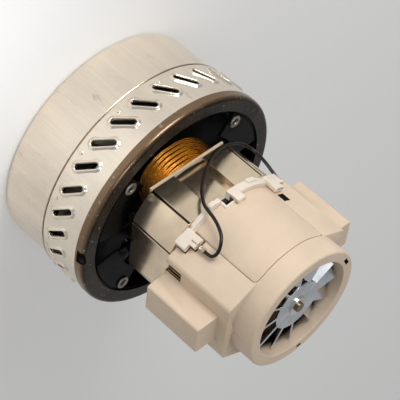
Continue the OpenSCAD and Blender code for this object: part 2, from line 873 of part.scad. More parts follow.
// Laminated stator with pole bore, coil windows and bolt holes
module stator_stack() {
    color("darkgray") translate([0, 0, stack_z]) linear_extrude(height = stack_l) difference() {
        stack_outline();
        circle(r = stator_bore_r);
        coil_windows(0, 0);
        for (s = [-1, 1]) translate([0, s * stack_half_y])
            square([2 * recess_half_w, 2 * recess_depth], center = true);
        at_bolts() circle(r = bolt_r + seat_gap);
    }
}

// Turns counted inwards from the widest one, after t turns of the strand
function turns_in(t) = t < layer_turns ? t : max(2 * layer_turns - t, 0);

// Share of the climb from the inner layer to the outer one, made in the half turn at the reversal
function climb(t) = min(max((t - layer_turns + 0.25) * 2, 0), 1);

// Point of a field coil: f runs round one turn, down one side, across and up the other
function coil_point(t, f) =
    let (
        fan_end = f < arch_rings,
        phi = 180 * (fan_end ? f : f - arch_rings) / (arch_rings - 1),
        across = (fan_end ? 1 : -1) * sign(cos(phi)) * pow(abs(cos(phi)), arch_power),
        rise = pow(max(sin(phi), 0), arch_power),
        inward = turns_in(t),
        angle = across * (coil_angle - coil_angle_step * inward),
        layer = coil_r + layer_step * climb(t),
        widest = layer_turns - inward,
        overhang = rise * (fan_end ? overhang_min + overhang_step * widest : back_min + back_step * widest),
        lean = fan_end ? coil_flare / overhang_max : -coil_draw / back_max,
        r = layer + lean * overhang
    )
    [r * sin(angle), -r * cos(angle), fan_end ? stack_z - overhang : stack_top + overhang];

coil_loops = [for (i = [0:floor(coil_turns * loop_rings) - 1])
    coil_point(i / loop_rings, i % loop_rings)];
coil_first = coil_loops[0];
coil_last = coil_loops[len(coil_loops) - 1];
lead_level = stack_top + lead_up;
coil_path = concat(
    [[coil_first[0], coil_first[1], lead_level], [coil_first[0], coil_first[1], lead_level - strand_d]],
    coil_loops,
    [[coil_last[0], coil_last[1], lead_level - strand_d], [coil_last[0], coil_last[1], lead_level]]);
echo(field_coil_least_gap = least_distance(coil_loops, arch_rings) - strand_d);

// Field coil round the pole on the -Y side
module field_coil() {
    refs = [for (p = coil_path) [p[0], p[1], 0]];
    tube_along(coil_path, refs, strand_d, strand_sides);
}

module field_coil_front() {
    color("darkorange") field_coil();
}

module field_coil_rear() {
    color("darkorange") rotate([0, 0, 180]) field_coil();
}

// Insulating plate under the stack's fan end
module fan_end_insulator() {
    plate_half_x = sqrt(stack_r * stack_r - stack_half_y * stack_half_y);
    color("cornsilk") translate([0, 0, stack_z - insulator_wall]) linear_extrude(height = insulator_wall)
        difference() {
            square(2 * [plate_half_x, stack_half_y + plate_lip], center = true);
            circle(r = stator_bore_r + plate_lip);
            coil_windows(window_gap / 2, window_spread);
        }
}

// Places its children on the slanted side of the right brush block: x points out of it, y runs along it
// away from the round wall
module at_terminal() {
    along = block_touch - block_leave;
    translate(block_leave) rotate([0, 0, atan2(along[1], along[0]) - 90]) children();
}

// Upright slot for a spade in the terminal block
module spade_slot(at) {
    translate([spade_out - seat_gap, at - spade_w / 2 - seat_gap, housing_z])
        cube([spade_wall + 2 * seat_gap, spade_w + 2 * seat_gap, terminal_h]);
}

// Terminal block on the slanted side of a brush block: a tall part, a low part and a foot under the block
module terminal_block() {
    translate([run_gap, terminal_from, stack_top])
        cube([terminal_out - run_gap, terminal_step_at - terminal_from, terminal_h]);
    translate([run_gap, terminal_from, stack_top])
        cube([terminal_out - run_gap, terminal_to - terminal_from, terminal_low_h]);
    translate([-terminal_foot, terminal_from, stack_top])
        cube([terminal_foot + terminal_out, terminal_to - terminal_from, block_rise - run_gap]);
}

// Tabs over the two ends of a field coil's strand
module lead_tabs() {
    last_angle = coil_angle - coil_angle_step / 2;
    r = frame_in_r + lead_tab_side;
    sector(r, coil_r - strand_d, coil_angle - lead_tab_side, coil_angle + lead_tab_reach);
    sector(r, coil_r + layer_step / 2 + fit_gap,
        -last_angle - lead_tab_reach, -last_angle + lead_tab_side);
}

// White frame between the stack and the end housing, with two terminal blocks
module terminal_frame() {
    color("white") difference() {
        union() {
            translate([0, 0, stack_top]) wall_ring(frame_r, frame_in_r, frame_gap - seat_gap);
            translate([0, 0, lead_level + fit_gap]) linear_extrude(height = lead_tab_h)
                for (s = [-90, 90]) rotate(s) lead_tabs();
            translate([0, 0, stack_top]) linear_extrude(height = frame_rim_h)
                sector(frame_r, housing_r + seat_gap, frame_rim_from, frame_rim_to);
            translate([0, 0, stack_top]) linear_extrude(height = frame_tab_h)
                sector(frame_r, housing_r + seat_gap, frame_tab_from, frame_tab_to);
            translate([0, 0, stack_top]) linear_extrude(height = frame_gap - seat_gap)
                for (t = frame_teeth)
                    sector(frame_r + frame_tooth_step, frame_r - frame_tooth_sink, t[0], t[1]);
            for (m = [0, 1]) mirror([m, 0, 0]) at_terminal() terminal_block();
        }
        translate([frame_notch_from, -frame_r - through, stack_top - through])
            cube([frame_notch_to - frame_notch_from, frame_r + through - frame_notch_r,
                frame_gap + 2 * through]);
        at_bolts() translate([0, 0, stack_top - through])
            cylinder(r = bolt_r + seat_gap, h = frame_gap + 2 * through);
        for (m = [0, 1], at = [spade_at, slot_at]) mirror([m, 0, 0]) at_terminal() spade_slot(at);
    }
}

// Spade terminal with a crimped barrel for the lead
module lead_terminal() {
    barrel_r = lead_d / 2 + barrel_wall;
    spade_top = housing_z + seat_gap + spade_l;
    color("goldenrod") {
        at_terminal() translate([spade_out, spade_at - spade_w / 2, housing_z + seat_gap])
            cube([spade_wall, spade_w, spade_l]);
        hull() {
            at_terminal() translate([spade_out, spade_at - spade_w / 4, spade_top - spade_wall])
                cube([spade_wall, spade_w / 2, spade_wall]);
            translate([LEAD_ROUTE[0][0], LEAD_ROUTE[0][1], LEAD_ROUTE[0][2] - barrel_l])
                cylinder(r = barrel_r, h = barrel_l, $fn = barrel_sides);
        }
    }
}

// Long bolts that clamp spider, stack, frame and end housing
module stator_bolts() {
    color("dimgray") at_bolts() {
        translate([0, 0, bolt_z]) cylinder(r = bolt_r, h = bolt_top - bolt_z);
        translate([0, 0, bolt_z - fit_gap]) cylinder(r = bolt_head_r, h = bolt_head_h);
    }
}

// Point where a line from p touches a circle, on the circle's side away from the shaft
function touch_point(p, c, r) =
    let (d = c - p, reach = norm(d), a = atan2(d[1], d[0]) - asin(r / reach))
    p + sqrt(reach * reach - r * r) * [cos(a), sin(a)];

block_corner = [block_half_x - block_edge_r, -block_half_y + block_edge_r];
block_leave = housing_r * [cos(block_angle), -sin(block_angle)];
block_touch = touch_point(block_leave, block_corner, block_edge_r - edge_tuck);
block_root = block_leave - block_wall * unit(block_touch - block_leave);

// Outline of one brush block, from the round wall to its outer face
module block_outline() {
    for (s = [0, 1]) mirror([0, s]) {
        polygon([[0, 0], block_root, block_touch, block_corner, [block_half_x, block_corner[1]],
            [block_half_x, 0]]);
        translate(block_corner) circle(r = block_edge_r);
    }
}

// Hollow inside one brush block and its box
module block_cave() {
    cave_y = block_half_y - 2 * block_wall;
    floor_z = housing_z + 2 * box_wall;
    box_y = box_half_y - box_wall;
    translate([housing_in_r - block_wall, -cave_y, floor_z])
        cube([block_cave_x - housing_in_r + block_wall, 2 * cave_y, block_top - block_wall - floor_z]);
    translate([housing_in_r, -box_y, floor_z])
        cube([box_half_x - box_wall - housing_in_r, 2 * box_y, box_z + box_h - box_wall - floor_z]);
}

// Duct that holds one brush tube, from x to the end wall of its box
module brush_duct(x, wall) {
    w = tube_out_w + 2 * (seat_gap + wall);
    h = tube_out_h + 2 * (seat_gap + wall);
    translate([x, -w / 2, brush_z - h / 2]) cube([box_half_x - box_wall - x, w, h]);
}

// Everything on one side of the end housing that is solid
module housing_side() {
    translate([0, 0, block_z]) linear_extrude(height = block_top - block_z) block_outline();
    translate([box_half_x / 2, 0, box_z]) linear_extrude(height = box_h)
        round_rect(box_half_x, 2 * box_half_y, box_edge_r);
}

// Cup of the rear bearing and the spokes that carry it
module bearing_bridge() {
    cup_r = bearing_r + cup_wall;
    cup_z = rear_bearing_z - cup_lip;
    translate([0, 0, cup_z]) wall_ring(cup_r, bearing_r + seat_gap, bearing_w + cup_lip);
    translate([0, 0, rear_bearing_z + bearing_w]) wall_ring(cup_r, dish_bore_r, cup_lip);
    spoke_from = bearing_r + cup_wall / 2;
    four_ways() rotate([0, 0, cup_spoke_angle])
        translate([spoke_from, -cup_spoke_w / 2, shroud_z - cup_spoke_h])
            cube([housing_in_r + housing_wall / 2 - spoke_from, cup_spoke_w, cup_spoke_h]);
}

// Ring round the cooling fan, with a rounded rim
module shroud() {
    rotate_extrude() difference() {
        translate([fan_opening_r, shroud_z - housing_wall])
            square([housing_r - fan_opening_r, shroud_h + housing_wall]);
        difference() {
            translate([housing_r - rim_edge_r, housing_top - rim_edge_r]) square(2 * rim_edge_r);
            translate([housing_r - rim_edge_r, housing_top - rim_edge_r]) circle(r = rim_edge_r);
        }
    }
}

// Opening in the round wall that one side panel fills, with the seam round it
module panel_opening() {
    half = panel_angle + asin(seam_gap / housing_r);
    intersection() {
        translate([0, 0, panel_z - through])
            linear_extrude(height = panel_top + seam_gap - panel_z + through)
                sector(housing_r + through, housing_in_r - seat_gap, -90 - half, -90 + half);
        panel_face(seam_gap);
    }
}

// Front view of a side panel with round upper corners, made larger by gap and run through the wall
module panel_face(gap) {
    half = housing_r * sin(panel_angle) + seam_gap + gap;
    r = panel_corner_r + gap;
    top = panel_top + gap;
    rotate([90, 0, 0]) linear_extrude(height = housing_r + 2 * through) {
        translate([-half, panel_z - through]) square([2 * half, top - r - panel_z + through]);
        translate([-half + r, panel_z - through]) square([2 * (half - r), top - panel_z + through]);
        for (s = [-1, 1]) translate([s * (half - r), top - r]) circle(r = r);
    }
}

// Moulded housing at the commutator end: round wall, brush blocks, fan ring and bearing bridge
module end_housing() {
    color("wheat") difference() {
        union() {
            difference() {
                union() {
                    translate([0, 0, housing_z]) cylinder(r = housing_r, h = shroud_z - housing_z);
                    housing_side();
                    mirror([1, 0, 0]) housing_side();
                }
                translate([0, 0, block_z - through])
                    cylinder(r = frame_r + run_gap, h = housing_z - block_z + through);
                translate([0, 0, block_z]) cylinder(r = housing_in_r, h = shroud_z - block_z + through);
                block_cave();
                mirror([1, 0, 0]) block_cave();
            }
            brush_duct(duct_from, channel_wall);
            mirror([1, 0, 0]) brush_duct(duct_from, channel_wall);
            bolt_bosses();
            shroud();
            bearing_bridge();
        }
        panel_opening();
        rotate([0, 0, 180]) panel_opening();
        brush_duct(tube_from - through, 0);
        mirror([1, 0, 0]) brush_duct(tube_from - through, 0);
        at_bolts() translate([0, 0, block_z])
            cylinder(r = bolt_r + seat_gap, h = bolt_top + run_gap - block_z);
        side_window();
        mirror([1, 0, 0]) side_window();
        mirror([1, 0, 0]) at_terminal() translate([-pocket_depth, pocket_from, pocket_z])
            cube([pocket_depth + through, pocket_to - pocket_from, pocket_h]);
        for (a = key_hole_angles) rotate([0, 0, a]) translate([key_hole_r, 0, housing_top])
            cube([key_hole_w, key_hole_w, 2 * key_hole_depth], center = true);
    }
}

// Pillars in the brush blocks that take the stator bolts
module bolt_bosses() {
    at_bolts() translate([0, 0, housing_z]) cylinder(r = boss_r, h = bolt_top - housing_z + boss_r);
}

// Window in a brush block beside the box, with the contact strips behind it
module side_window() {
    translate([block_half_x - window_depth, window_y_from, block_z - through])
        cube([window_depth + through, window_y_to - window_y_from, window_h + through]);
}

// Curved panel that closes the round wall between the brush blocks
module side_panel() {
    difference() {
        intersection() {
            translate([0, 0, panel_z]) linear_extrude(height = panel_top - panel_z)
                sector(housing_r, housing_in_r, -90 - panel_angle, -90 + panel_angle);
            panel_face(0);
        }
        translate([0, 0, panel_z - through]) linear_extrude(height = panel_notch_h + through)
            sector(housing_r + through, housing_in_r - through, panel_notch_from, panel_notch_to);
    }
}

module front_panel() {
    color("bisque") side_panel();
}

module rear_panel() {
    color("bisque") rotate([0, 0, 180]) side_panel();
}

// Brass tube that guides one carbon brush
module brush_tube() {
    translate([tube_from, 0, brush_z]) rotate([0, 90, 0]) linear_extrude(height = tube_to - tube_from)
        difference() {
            square([tube_out_h, tube_out_w], center = true);
            square([tube_in_h, tube_in_w], center = true);
        }
}

// Carbon block whose tip is shaped to the commutator
module carbon_brush() {
    difference() {
        translate([0, -brush_w / 2, brush_z - brush_h / 2]) cube([brush_end, brush_w, brush_h]);
        translate([0, 0, brush_z - brush_h]) cylinder(r = brush_tip_r, h = 2 * brush_h);
    }
}

// Centre line of a brush spring, from the brush to the cap
spring_mid_r = spring_r - spring_wire_d / 2;
spring_path = [for (i = [0:spring_curls * spring_rings])
    let (s = i / (spring_curls * spring_rings), a = 360 * i / spring_rings)
    [spring_from + (spring_to - spring_from) * s, spring_mid_r * cos(a), brush_z + spring_mid_r * sin(a)]];
echo(brush_spring_least_gap = least_distance(spring_path, spring_rings - 1) - spring_wire_d);

// Coil spring that presses a brush on the commutator
module brush_spring() {
    refs = [for (p = spring_path) [1, 0, 0]];
    tube_along(spring_path, refs, spring_wire_d, spring_sides);
}

// Brass cap that closes a brush tube
module brush_cap() {
    translate([cap_from, -tube_in_w / 2 + seat_gap, brush_z - tube_in_h / 2 + seat_gap])
        cube([tube_to - cap_from, tube_in_w - 2 * seat_gap, tube_in_h - 2 * seat_gap]);
}

module brush_tube_right() {
    color("goldenrod") brush_tube();
}

module brush_tube_left() {
    color("goldenrod") mirror([1, 0, 0]) brush_tube();
}

module carbon_brush_right() {
    color([0.15, 0.15, 0.15]) carbon_brush();
}

module carbon_brush_left() {
    color([0.15, 0.15, 0.15]) mirror([1, 0, 0]) carbon_brush();
}

module brush_spring_right() {
    color("silver") brush_spring();
}

module brush_spring_left() {
    color("silver") rotate([0, 0, 180]) brush_spring();
}

module brush_cap_right() {
    color("goldenrod") brush_cap();
}

module brush_cap_left() {
    color("goldenrod") mirror([1, 0, 0]) brush_cap();
}

// Contact strips behind each side window
module brush_strips() {
    pitch = (window_y_to - window_y_from) / strip_count;
    color("lightgray") for (s = [0, 1], k = [0:strip_count - 1]) mirror([s, 0, 0])
        translate([block_half_x - window_depth + fit_gap,
            window_y_from + pitch * (k + 0.5) - strip_w / 2, block_z + seat_gap])
            cube([strip_x, strip_w, window_h - 2 * seat_gap]);
}

// Black lead from the terminal to the left brush block
module lead_wire() {
    refs = [for (p = LEAD_ROUTE) [p[0], p[1], 0]];
    color([0.05, 0.05, 0.05]) tube_along(LEAD_ROUTE, refs, lead_d, lead_sides);
}

fan_can();
exhaust_band();
end_ring();
bracket_dish();
motor_spider();
eyelets();
diffuser();
impeller_1();
impeller_2();
impeller_spacer();
bearing_spacer();
clamp_washer();
shaft_nut();
shaft();
fan_bearing_outer();
fan_bearing_inner();
armature_core();
armature_winding();
commutator();
commutator_hub();
rear_bearing_outer();
rear_bearing_inner();
cooling_fan();
fan_ferrule();
stator_stack();
field_coil_front();
field_coil_rear();
fan_end_insulator();
terminal_frame();
lead_terminal();
stator_bolts();
end_housing();
front_panel();
rear_panel();
brush_tube_right();
brush_tube_left();
carbon_brush_right();
carbon_brush_left();
brush_spring_right();
brush_spring_left();
brush_cap_right();
brush_cap_left();
brush_strips();
lead_wire();
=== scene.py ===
"""Looks of a two-stage vacuum motor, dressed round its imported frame.

The shaft runs along +Z from the intake at z = 0 to the cooling fan. Sizes in the classes are in millimetres.
"""

import functools
import logging
import math
from dataclasses import dataclass
from enum import Enum
from typing import Sequence

import bmesh
import bpy
from mathutils import Matrix, Vector
from mathutils.kdtree import KDTree

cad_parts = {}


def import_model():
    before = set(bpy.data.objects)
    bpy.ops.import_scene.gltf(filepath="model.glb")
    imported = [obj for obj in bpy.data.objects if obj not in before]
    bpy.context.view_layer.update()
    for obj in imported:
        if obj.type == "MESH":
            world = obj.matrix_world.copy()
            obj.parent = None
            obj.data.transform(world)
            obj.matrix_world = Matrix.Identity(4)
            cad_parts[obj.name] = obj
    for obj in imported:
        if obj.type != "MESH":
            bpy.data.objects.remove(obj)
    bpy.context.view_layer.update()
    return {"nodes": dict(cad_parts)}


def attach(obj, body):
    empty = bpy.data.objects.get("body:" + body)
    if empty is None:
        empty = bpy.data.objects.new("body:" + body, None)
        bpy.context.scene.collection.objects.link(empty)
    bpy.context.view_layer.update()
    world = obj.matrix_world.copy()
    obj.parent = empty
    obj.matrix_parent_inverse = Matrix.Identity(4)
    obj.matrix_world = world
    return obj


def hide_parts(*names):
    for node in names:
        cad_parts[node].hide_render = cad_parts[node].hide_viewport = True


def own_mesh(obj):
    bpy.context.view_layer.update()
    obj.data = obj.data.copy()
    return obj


LOG = logging.getLogger("vacuum_motor")
MM = 0.001
FULL = 0.99  # Largest share of painted shade over a tone
WAVES = 3.2  # Lines that a wave texture draws per unit of length
Point = tuple[float, float, float]
Pair = tuple[float, float]
Colour = tuple[int, int, int]
Loop = Sequence[Pair]
Object, Mesh, Socket, BMesh = bpy.types.Object, bpy.types.Mesh, bpy.types.NodeSocket, bmesh.types.BMesh


class Body(Enum):
    """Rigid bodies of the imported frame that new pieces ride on."""

    FRAME = "motor_frame"
    ROTOR = "rotor"


class Slot(Enum):
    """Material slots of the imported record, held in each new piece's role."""

    SHEET = "sheet_aluminium"
    FAN = "fan_sheet"
    BLACK = "black_steel"
    STEEL = "bright_steel"
    STACK = "lamination"
    COPPER = "copper"
    BRASS = "brass"
    CREAM = "moulding"
    WHITE = "white_moulding"
    LEAD = "lead_black"


class Pole(Enum):
    """Field poles, by the turn that carries the front one to each."""

    FRONT = 0.0
    REAR = 180.0


@dataclass(frozen=True)
class Hollow:
    """Box-shaped hollow, turned about an axis parallel to the shaft."""

    centre: Point
    half: Point
    turn: float = 0.0

    def grown(self, by: float) -> "Hollow":
        """The same hollow, a little larger on all sides."""
        return Hollow(self.centre, tuple(value + by for value in self.half), self.turn)

    def corners(self) -> list[list[Point]]:
        """The corners of the box, in order.

        Returns:
            The lower four and the upper four.
        """
        a = math.radians(self.turn)
        (x, y, z), (w, d, h) = self.centre, self.half
        flat = [(x + i * w * math.cos(a) - j * d * math.sin(a), y + i * w * math.sin(a) + j * d * math.cos(a))
                for i, j in ((1, 1), (-1, 1), (-1, -1), (1, -1))]
        return [[(*point, level) for point in flat] for level in (z - h, z + h)]


def linear(colour: Colour) -> tuple[float, float, float, float]:
    """Turns a colour from 0-255 display values into linear light.

    Args:
        colour: Red, green and blue, 0 to 255.

    Returns:
        Linear red, green, blue and full alpha.
    """

    def channel(value: int) -> float:
        """One channel in linear light."""
        share = value / 255
        return share / 12.92 if share <= 0.04045 else ((share + 0.055) / 1.055) ** 2.4

    return (*(channel(value) for value in colour), 1.0)


def shade(colour: Colour, factor: float) -> Colour:
    """Lightens or darkens a display colour.

    Args:
        colour: Red, green and blue, 0 to 255.
        factor: Share of each channel to keep.

    Returns:
        The new colour, held to 0-255.
    """
    return tuple(min(255, max(0, round(value * factor))) for value in colour)


class Shading:
    """Node tree of one material while it is built."""

    def __init__(self, name: str) -> None:
        """Starts an empty material.

        Args:
            name: Name of the material.
        """
        self.material = bpy.data.materials.new(name)
        self.material.use_nodes = True
        self.tree = self.material.node_tree
        self.tree.nodes.clear()
        self.shader = self.node("BsdfPrincipled")
        output = self.node("OutputMaterial")
        self.tree.links.new(self.shader.outputs["BSDF"], output.inputs["Surface"])
        self.coordinates = self.node("TexCoord").outputs["Object"]

    def node(self, kind: str) -> bpy.types.Node:
        """A new shader node of one kind."""
        return self.tree.nodes.new(f"ShaderNode{kind}")

    def give(self, socket: Socket, value: object) -> None:
        """Links a socket or sets its plain value.

        Args:
            socket: Input to fill.
            value: Another socket, or a number or colour.
        """
        if isinstance(value, Socket):
            self.tree.links.new(value, socket)
        else:
            socket.default_value = value

    def dress(self, **inputs: object) -> None:
        """Fills inputs of the shader; an underscore in a name stands for a space."""
        for name, value in inputs.items():
            self.give(self.shader.inputs[name.replace("_", " ")], value)

    def stretched(self, along: Point) -> Socket:
        """Object coordinates, scaled on each axis.

        Args:
            along: Scale on x, y and z.

        Returns:
            The scaled coordinates.
        """
        node = self.node("Mapping")
        self.give(node.inputs["Vector"], self.coordinates)
        node.inputs["Scale"].default_value = along
        return node.outputs["Vector"]

    def noise(self, along: Point, detail: float = 3.0, rough: float = 0.55) -> Socket:
        """Noise with its own grain on each axis.

        Args:
            along: Grains per metre on x, y and z.
            detail: Number of finer layers.
            rough: Share of the finer layers.

        Returns:
            Value from about 0 to 1.
        """
        node = self.node("TexNoise")
        self.give(node.inputs["Vector"], self.stretched(along))
        node.inputs["Scale"].default_value = 1.0
        node.inputs["Detail"].default_value = detail
        node.inputs["Roughness"].default_value = rough
        return node.outputs["Fac"]

    def lines(self, along: Point, waver: float) -> Socket:
        """Even lines square to z.

        Args:
            along: Scale on x, y and z; z gives lines per metre.
            waver: How far the lines stray.

        Returns:
            Value from 0 to 1.
        """
        node = self.node("TexWave")
        node.bands_direction = "Z"
        self.give(node.inputs["Vector"], self.stretched(along))
        node.inputs["Scale"].default_value = 1.0
        node.inputs["Distortion"].default_value = waver
        return node.outputs["Fac"]

    def radius(self) -> Socket:
        """Distance from the shaft.

        Returns:
            The distance in metres.
        """
        node = self.node("VectorMath")
        node.operation = "LENGTH"
        self.give(node.inputs[0], self.stretched((1, 1, 0)))
        return node.outputs["Value"]

    def height(self) -> Socket:
        """Distance from the intake face.

        Returns:
            The distance in metres.
        """
        node = self.node("SeparateXYZ")
        self.give(node.inputs[0], self.coordinates)
        return node.outputs["Z"]

    def joined(self, how: str, first: Socket, second: Socket) -> Socket:
        """Joins two values by one of Blender's sums.

        Args:
            how: Name of the sum.
            first: First value.
            second: Second value.

        Returns:
            The result.
        """
        node = self.node("Math")
        node.operation = how
        self.give(node.inputs[0], first)
        self.give(node.inputs[1], second)
        return node.outputs[0]

    def inside(self, hollow: Hollow, soft: float) -> Socket:
        """Nearly one inside a hollow and nothing outside it.

        Args:
            hollow: The hollow.
            soft: Share of its half size over which it fades.

        Returns:
            The value.
        """
        local = self.node("Mapping")
        local.vector_type = "TEXTURE"
        self.give(local.inputs["Vector"], self.coordinates)
        local.inputs["Location"].default_value = [value * MM for value in hollow.centre]
        local.inputs["Rotation"].default_value = (0, 0, math.radians(hollow.turn))
        local.inputs["Scale"].default_value = [value * MM for value in hollow.half]
        size = self.node("VectorMath")
        size.operation = "ABSOLUTE"
        self.give(size.inputs[0], local.outputs["Vector"])
        parts = self.node("SeparateXYZ")
        self.give(parts.inputs[0], size.outputs["Vector"])
        across = self.joined("MAXIMUM", parts.outputs["X"], parts.outputs["Y"])
        return self.span(self.joined("MAXIMUM", across, parts.outputs["Z"]), 1 - soft, 1.0, FULL, 0.0)

    def span(self, value: Socket, low: float, high: float, to_low: float,
             to_high: float) -> Socket:
        """Maps a value from one range to another, and holds it there.

        Args:
            value: Value to map.
            low: Start of its range.
            high: End of its range.
            to_low: Result at the start.
            to_high: Result at the end.

        Returns:
            The mapped value.
        """
        node = self.node("MapRange")
        self.give(node.inputs["Value"], value)
        for name, number in (("From Min", low), ("From Max", high), ("To Min", to_low), ("To Max", to_high)):
            node.inputs[name].default_value = number
        return node.outputs["Result"]

    def mixed(self, share: Socket, first: object, second: object) -> Socket:
        """Mixes two colours.

        Args:
            share: Share of the second colour.
            first: Colour or socket.
            second: Colour or socket.

        Returns:
            The mixed colour.
        """
        node = self.node("Mix")
        node.data_type = "RGBA"
        self.give(node.inputs[0], share)
        self.give(node.inputs[6], first)
        self.give(node.inputs[7], second)
        return node.outputs[2]

    def over(self, tone: object, value: Socket, low: float, high: float, share: float,
             colour: Colour) -> Socket:
        """Lays a display colour over a tone where a value is high.

        Args:
            tone: Colour or socket below.
            value: Value that places the colour.
            low: Value at which it starts.
            high: Value at which it is full.
            share: Its share where it is full.
            colour: The colour.

        Returns:
            The mixed colour.
        """
        return self.mixed(self.span(value, low, high, 0.0, share), tone, linear(colour))

    def paint_shade_inside(self, tone: Socket, hollows: Sequence[Hollow], dust_and_shade: Colour, soft: float = 0.03) -> Socket:
        """Lays painted shade over a tone inside hollows.

        Args:
            tone: Colour below.
            hollows: The hollows.
            dust_and_shade: Display colour of the painted shade.
            soft: Share of each hollow's half size over which it fades.

        Returns:
            The mixed colour.
        """
        for hollow in hollows:
            tone = self.mixed(self.inside(hollow, soft), tone, linear(dust_and_shade))
        return tone

    def uneven(self, value: Socket, middle: float, less: float, more: float) -> Socket:
        """Roughness that follows a noise.

        Args:
            value: The noise.
            middle: Roughness of the finish.
            less: How much smoother it gets.
            more: How much rougher it gets.

        Returns:
            The roughness.
        """
        return self.span(value, 0.3, 0.7, middle - less, middle + more)

    def bump(self, height: Socket, strength: float, depth: float,
             under: Socket | None = None) -> Socket:
        """Roughens the surface.

        Args:
            height: Height from 0 to 1.
            strength: Share of the effect.
            depth: Full height in millimetres.
            under: Bump that lies below this one.

        Returns:
            The bent normal.
        """
        node = self.node("Bump")
        node.inputs["Strength"].default_value = strength
        node.inputs["Distance"].default_value = depth * MM
        self.give(node.inputs["Height"], height)
        if under is not None:
            self.give(node.inputs["Normal"], under)
        return node.outputs["Normal"]


@dataclass(frozen=True)
class Finish:
    """A finish that any piece can take."""

    name: str
    tone: Colour
    roughness: float = 0.4

    @functools.cache
    def material(self) -> bpy.types.Material:
        """The finish's material, made on first use.

        Returns:
            The material.
        """
        shading = Shading(self.name)
        self.paint(shading)
        return shading.material

    def paint(self, s: Shading) -> None:
        """Fills a material's nodes; each finish has its own."""
        raise NotImplementedError


@dataclass(frozen=True)
class DrawnSheet(Finish):
    """Drawn sheet metal with scratches along the shaft and faint stains."""

    scratch: float = 0.5
    stain: Colour = (120, 98, 76)

    def paint(self, s: Shading) -> None:
        """Scratches, clouds and stains on bare metal.

        Args:
            s: Node tree to fill.
        """
        scratch = s.noise((1500, 1500, 14), 4.0, 0.65)
        cloud = s.noise((38, 38, 16), 3.0, 0.5)
        marks = s.noise((150, 150, 60), 6.0, 0.65)
        streaks = s.noise((420, 420, 9), 3.0, 0.6)
        dull = linear(shade(self.tone, 1 - 0.2 * self.scratch))
        tone = s.over(dull, scratch, 0.3, 0.7, 1.0, shade(self.tone, 1.04))
        tone = s.over(tone, cloud, 0.35, 0.7, 0.5, shade(self.tone, 0.86))
        tone = s.over(tone, streaks, 0.62, 0.74, self.scratch, shade(self.stain, 1.3))
        tone = s.over(tone, marks, 0.64, 0.74, 0.5, self.stain)
        rough = s.uneven(cloud, self.roughness, 0.04, 0.06)
        normal = s.bump(scratch, 0.25 * self.scratch, 0.05)
        s.dress(Base_Color=tone, Metallic=1.0, Roughness=rough, Normal=s.bump(cloud, 0.08, 0.6, normal))


@dataclass(frozen=True)
class PolishedSheet(Finish):
    """Bright stamped sheet with soft smudges and a few marks."""

    def paint(self, s: Shading) -> None:
        """Smudges and marks on a near mirror.

        Args:
            s: Node tree to fill.
        """
        smudge = s.noise((110, 110, 110), 3.0, 0.5)
        marks = s.noise((420, 90, 300), 4.0, 0.6)
        tone = s.over(linear(self.tone), smudge, 0.35, 0.7, 1.0, shade(self.tone, 0.88))
        tone = s.over(tone, marks, 0.66, 0.76, 0.35, shade(self.tone, 0.55))
        rough = s.uneven(smudge, self.roughness, 0.03, 0.08)
        s.dress(Base_Color=tone, Metallic=1.0, Roughness=rough)


@dataclass(frozen=True)
class RolledSteel(Finish):
    """Dull rolled steel with specks and darker patches."""

    speck: Colour = (196, 184, 168)
    # Painted highlight: a lighter tone on the outer rolled edge, between two radii
    edge_highlight: Colour = (138, 113, 88)
    highlight_from: float = 70.6
    highlight_to: float = 71.9

    def paint(self, s: Shading) -> None:
        """Patches, specks, a fine grain and a painted highlight on the outer edge.

        Args:
            s: Node tree to fill.
        """
        patch = s.noise((60, 60, 60), 5.0, 0.6)
        grain = s.noise((900, 900, 900), 3.0, 0.6)
        specks = s.noise((420, 420, 420), 1.0, 0.4)
        tone = s.over(linear(shade(self.tone, 0.7)), patch, 0.35, 0.68, 1.0, shade(self.tone, 1.2))
        # Painted highlight on the outer rolled edge
        tone = s.over(tone, s.radius(), self.highlight_from * MM, self.highlight_to * MM, 0.9, self.edge_highlight)
        tone = s.over(tone, specks, 0.7, 0.76, 0.5, self.speck)
        rough = s.uneven(patch, self.roughness, 0.08, 0.14)
        s.dress(Base_Color=tone, Metallic=0.9, Roughness=rough, Normal=s.bump(grain, 0.2, 0.06))


@dataclass(frozen=True)
class TurnedMetal(Finish):
    """Turned or ground metal with fine tool lines and a soft tarnish."""

    # Painted shade inside the hollows, such as the flanks of the contact strips
    dust_and_shade: Colour = (12, 11, 10)
    hollows: tuple[Hollow, ...] = ()

    def paint(self, s: Shading) -> None:
        """Tool lines and tarnish, and painted shade in the hollows.

        Args:
            s: Node tree to fill.
        """
        tool = s.noise((240, 240, 2600), 2.0, 0.5)
        tarnish = s.noise((150, 150, 150), 4.0, 0.6)
        tone = s.over(linear(self.tone), tarnish, 0.35, 0.7, 1.0, shade(self.tone, 0.76))
        # Painted shade in the hollows
        tone = s.paint_shade_inside(tone, self.hollows, self.dust_and_shade)
        rough = s.uneven(tool, self.roughness, 0.05, 0.08)
        s.dress(Base_Color=tone, Metallic=1.0, Roughness=rough, Normal=s.bump(tool, 0.12, 0.03))


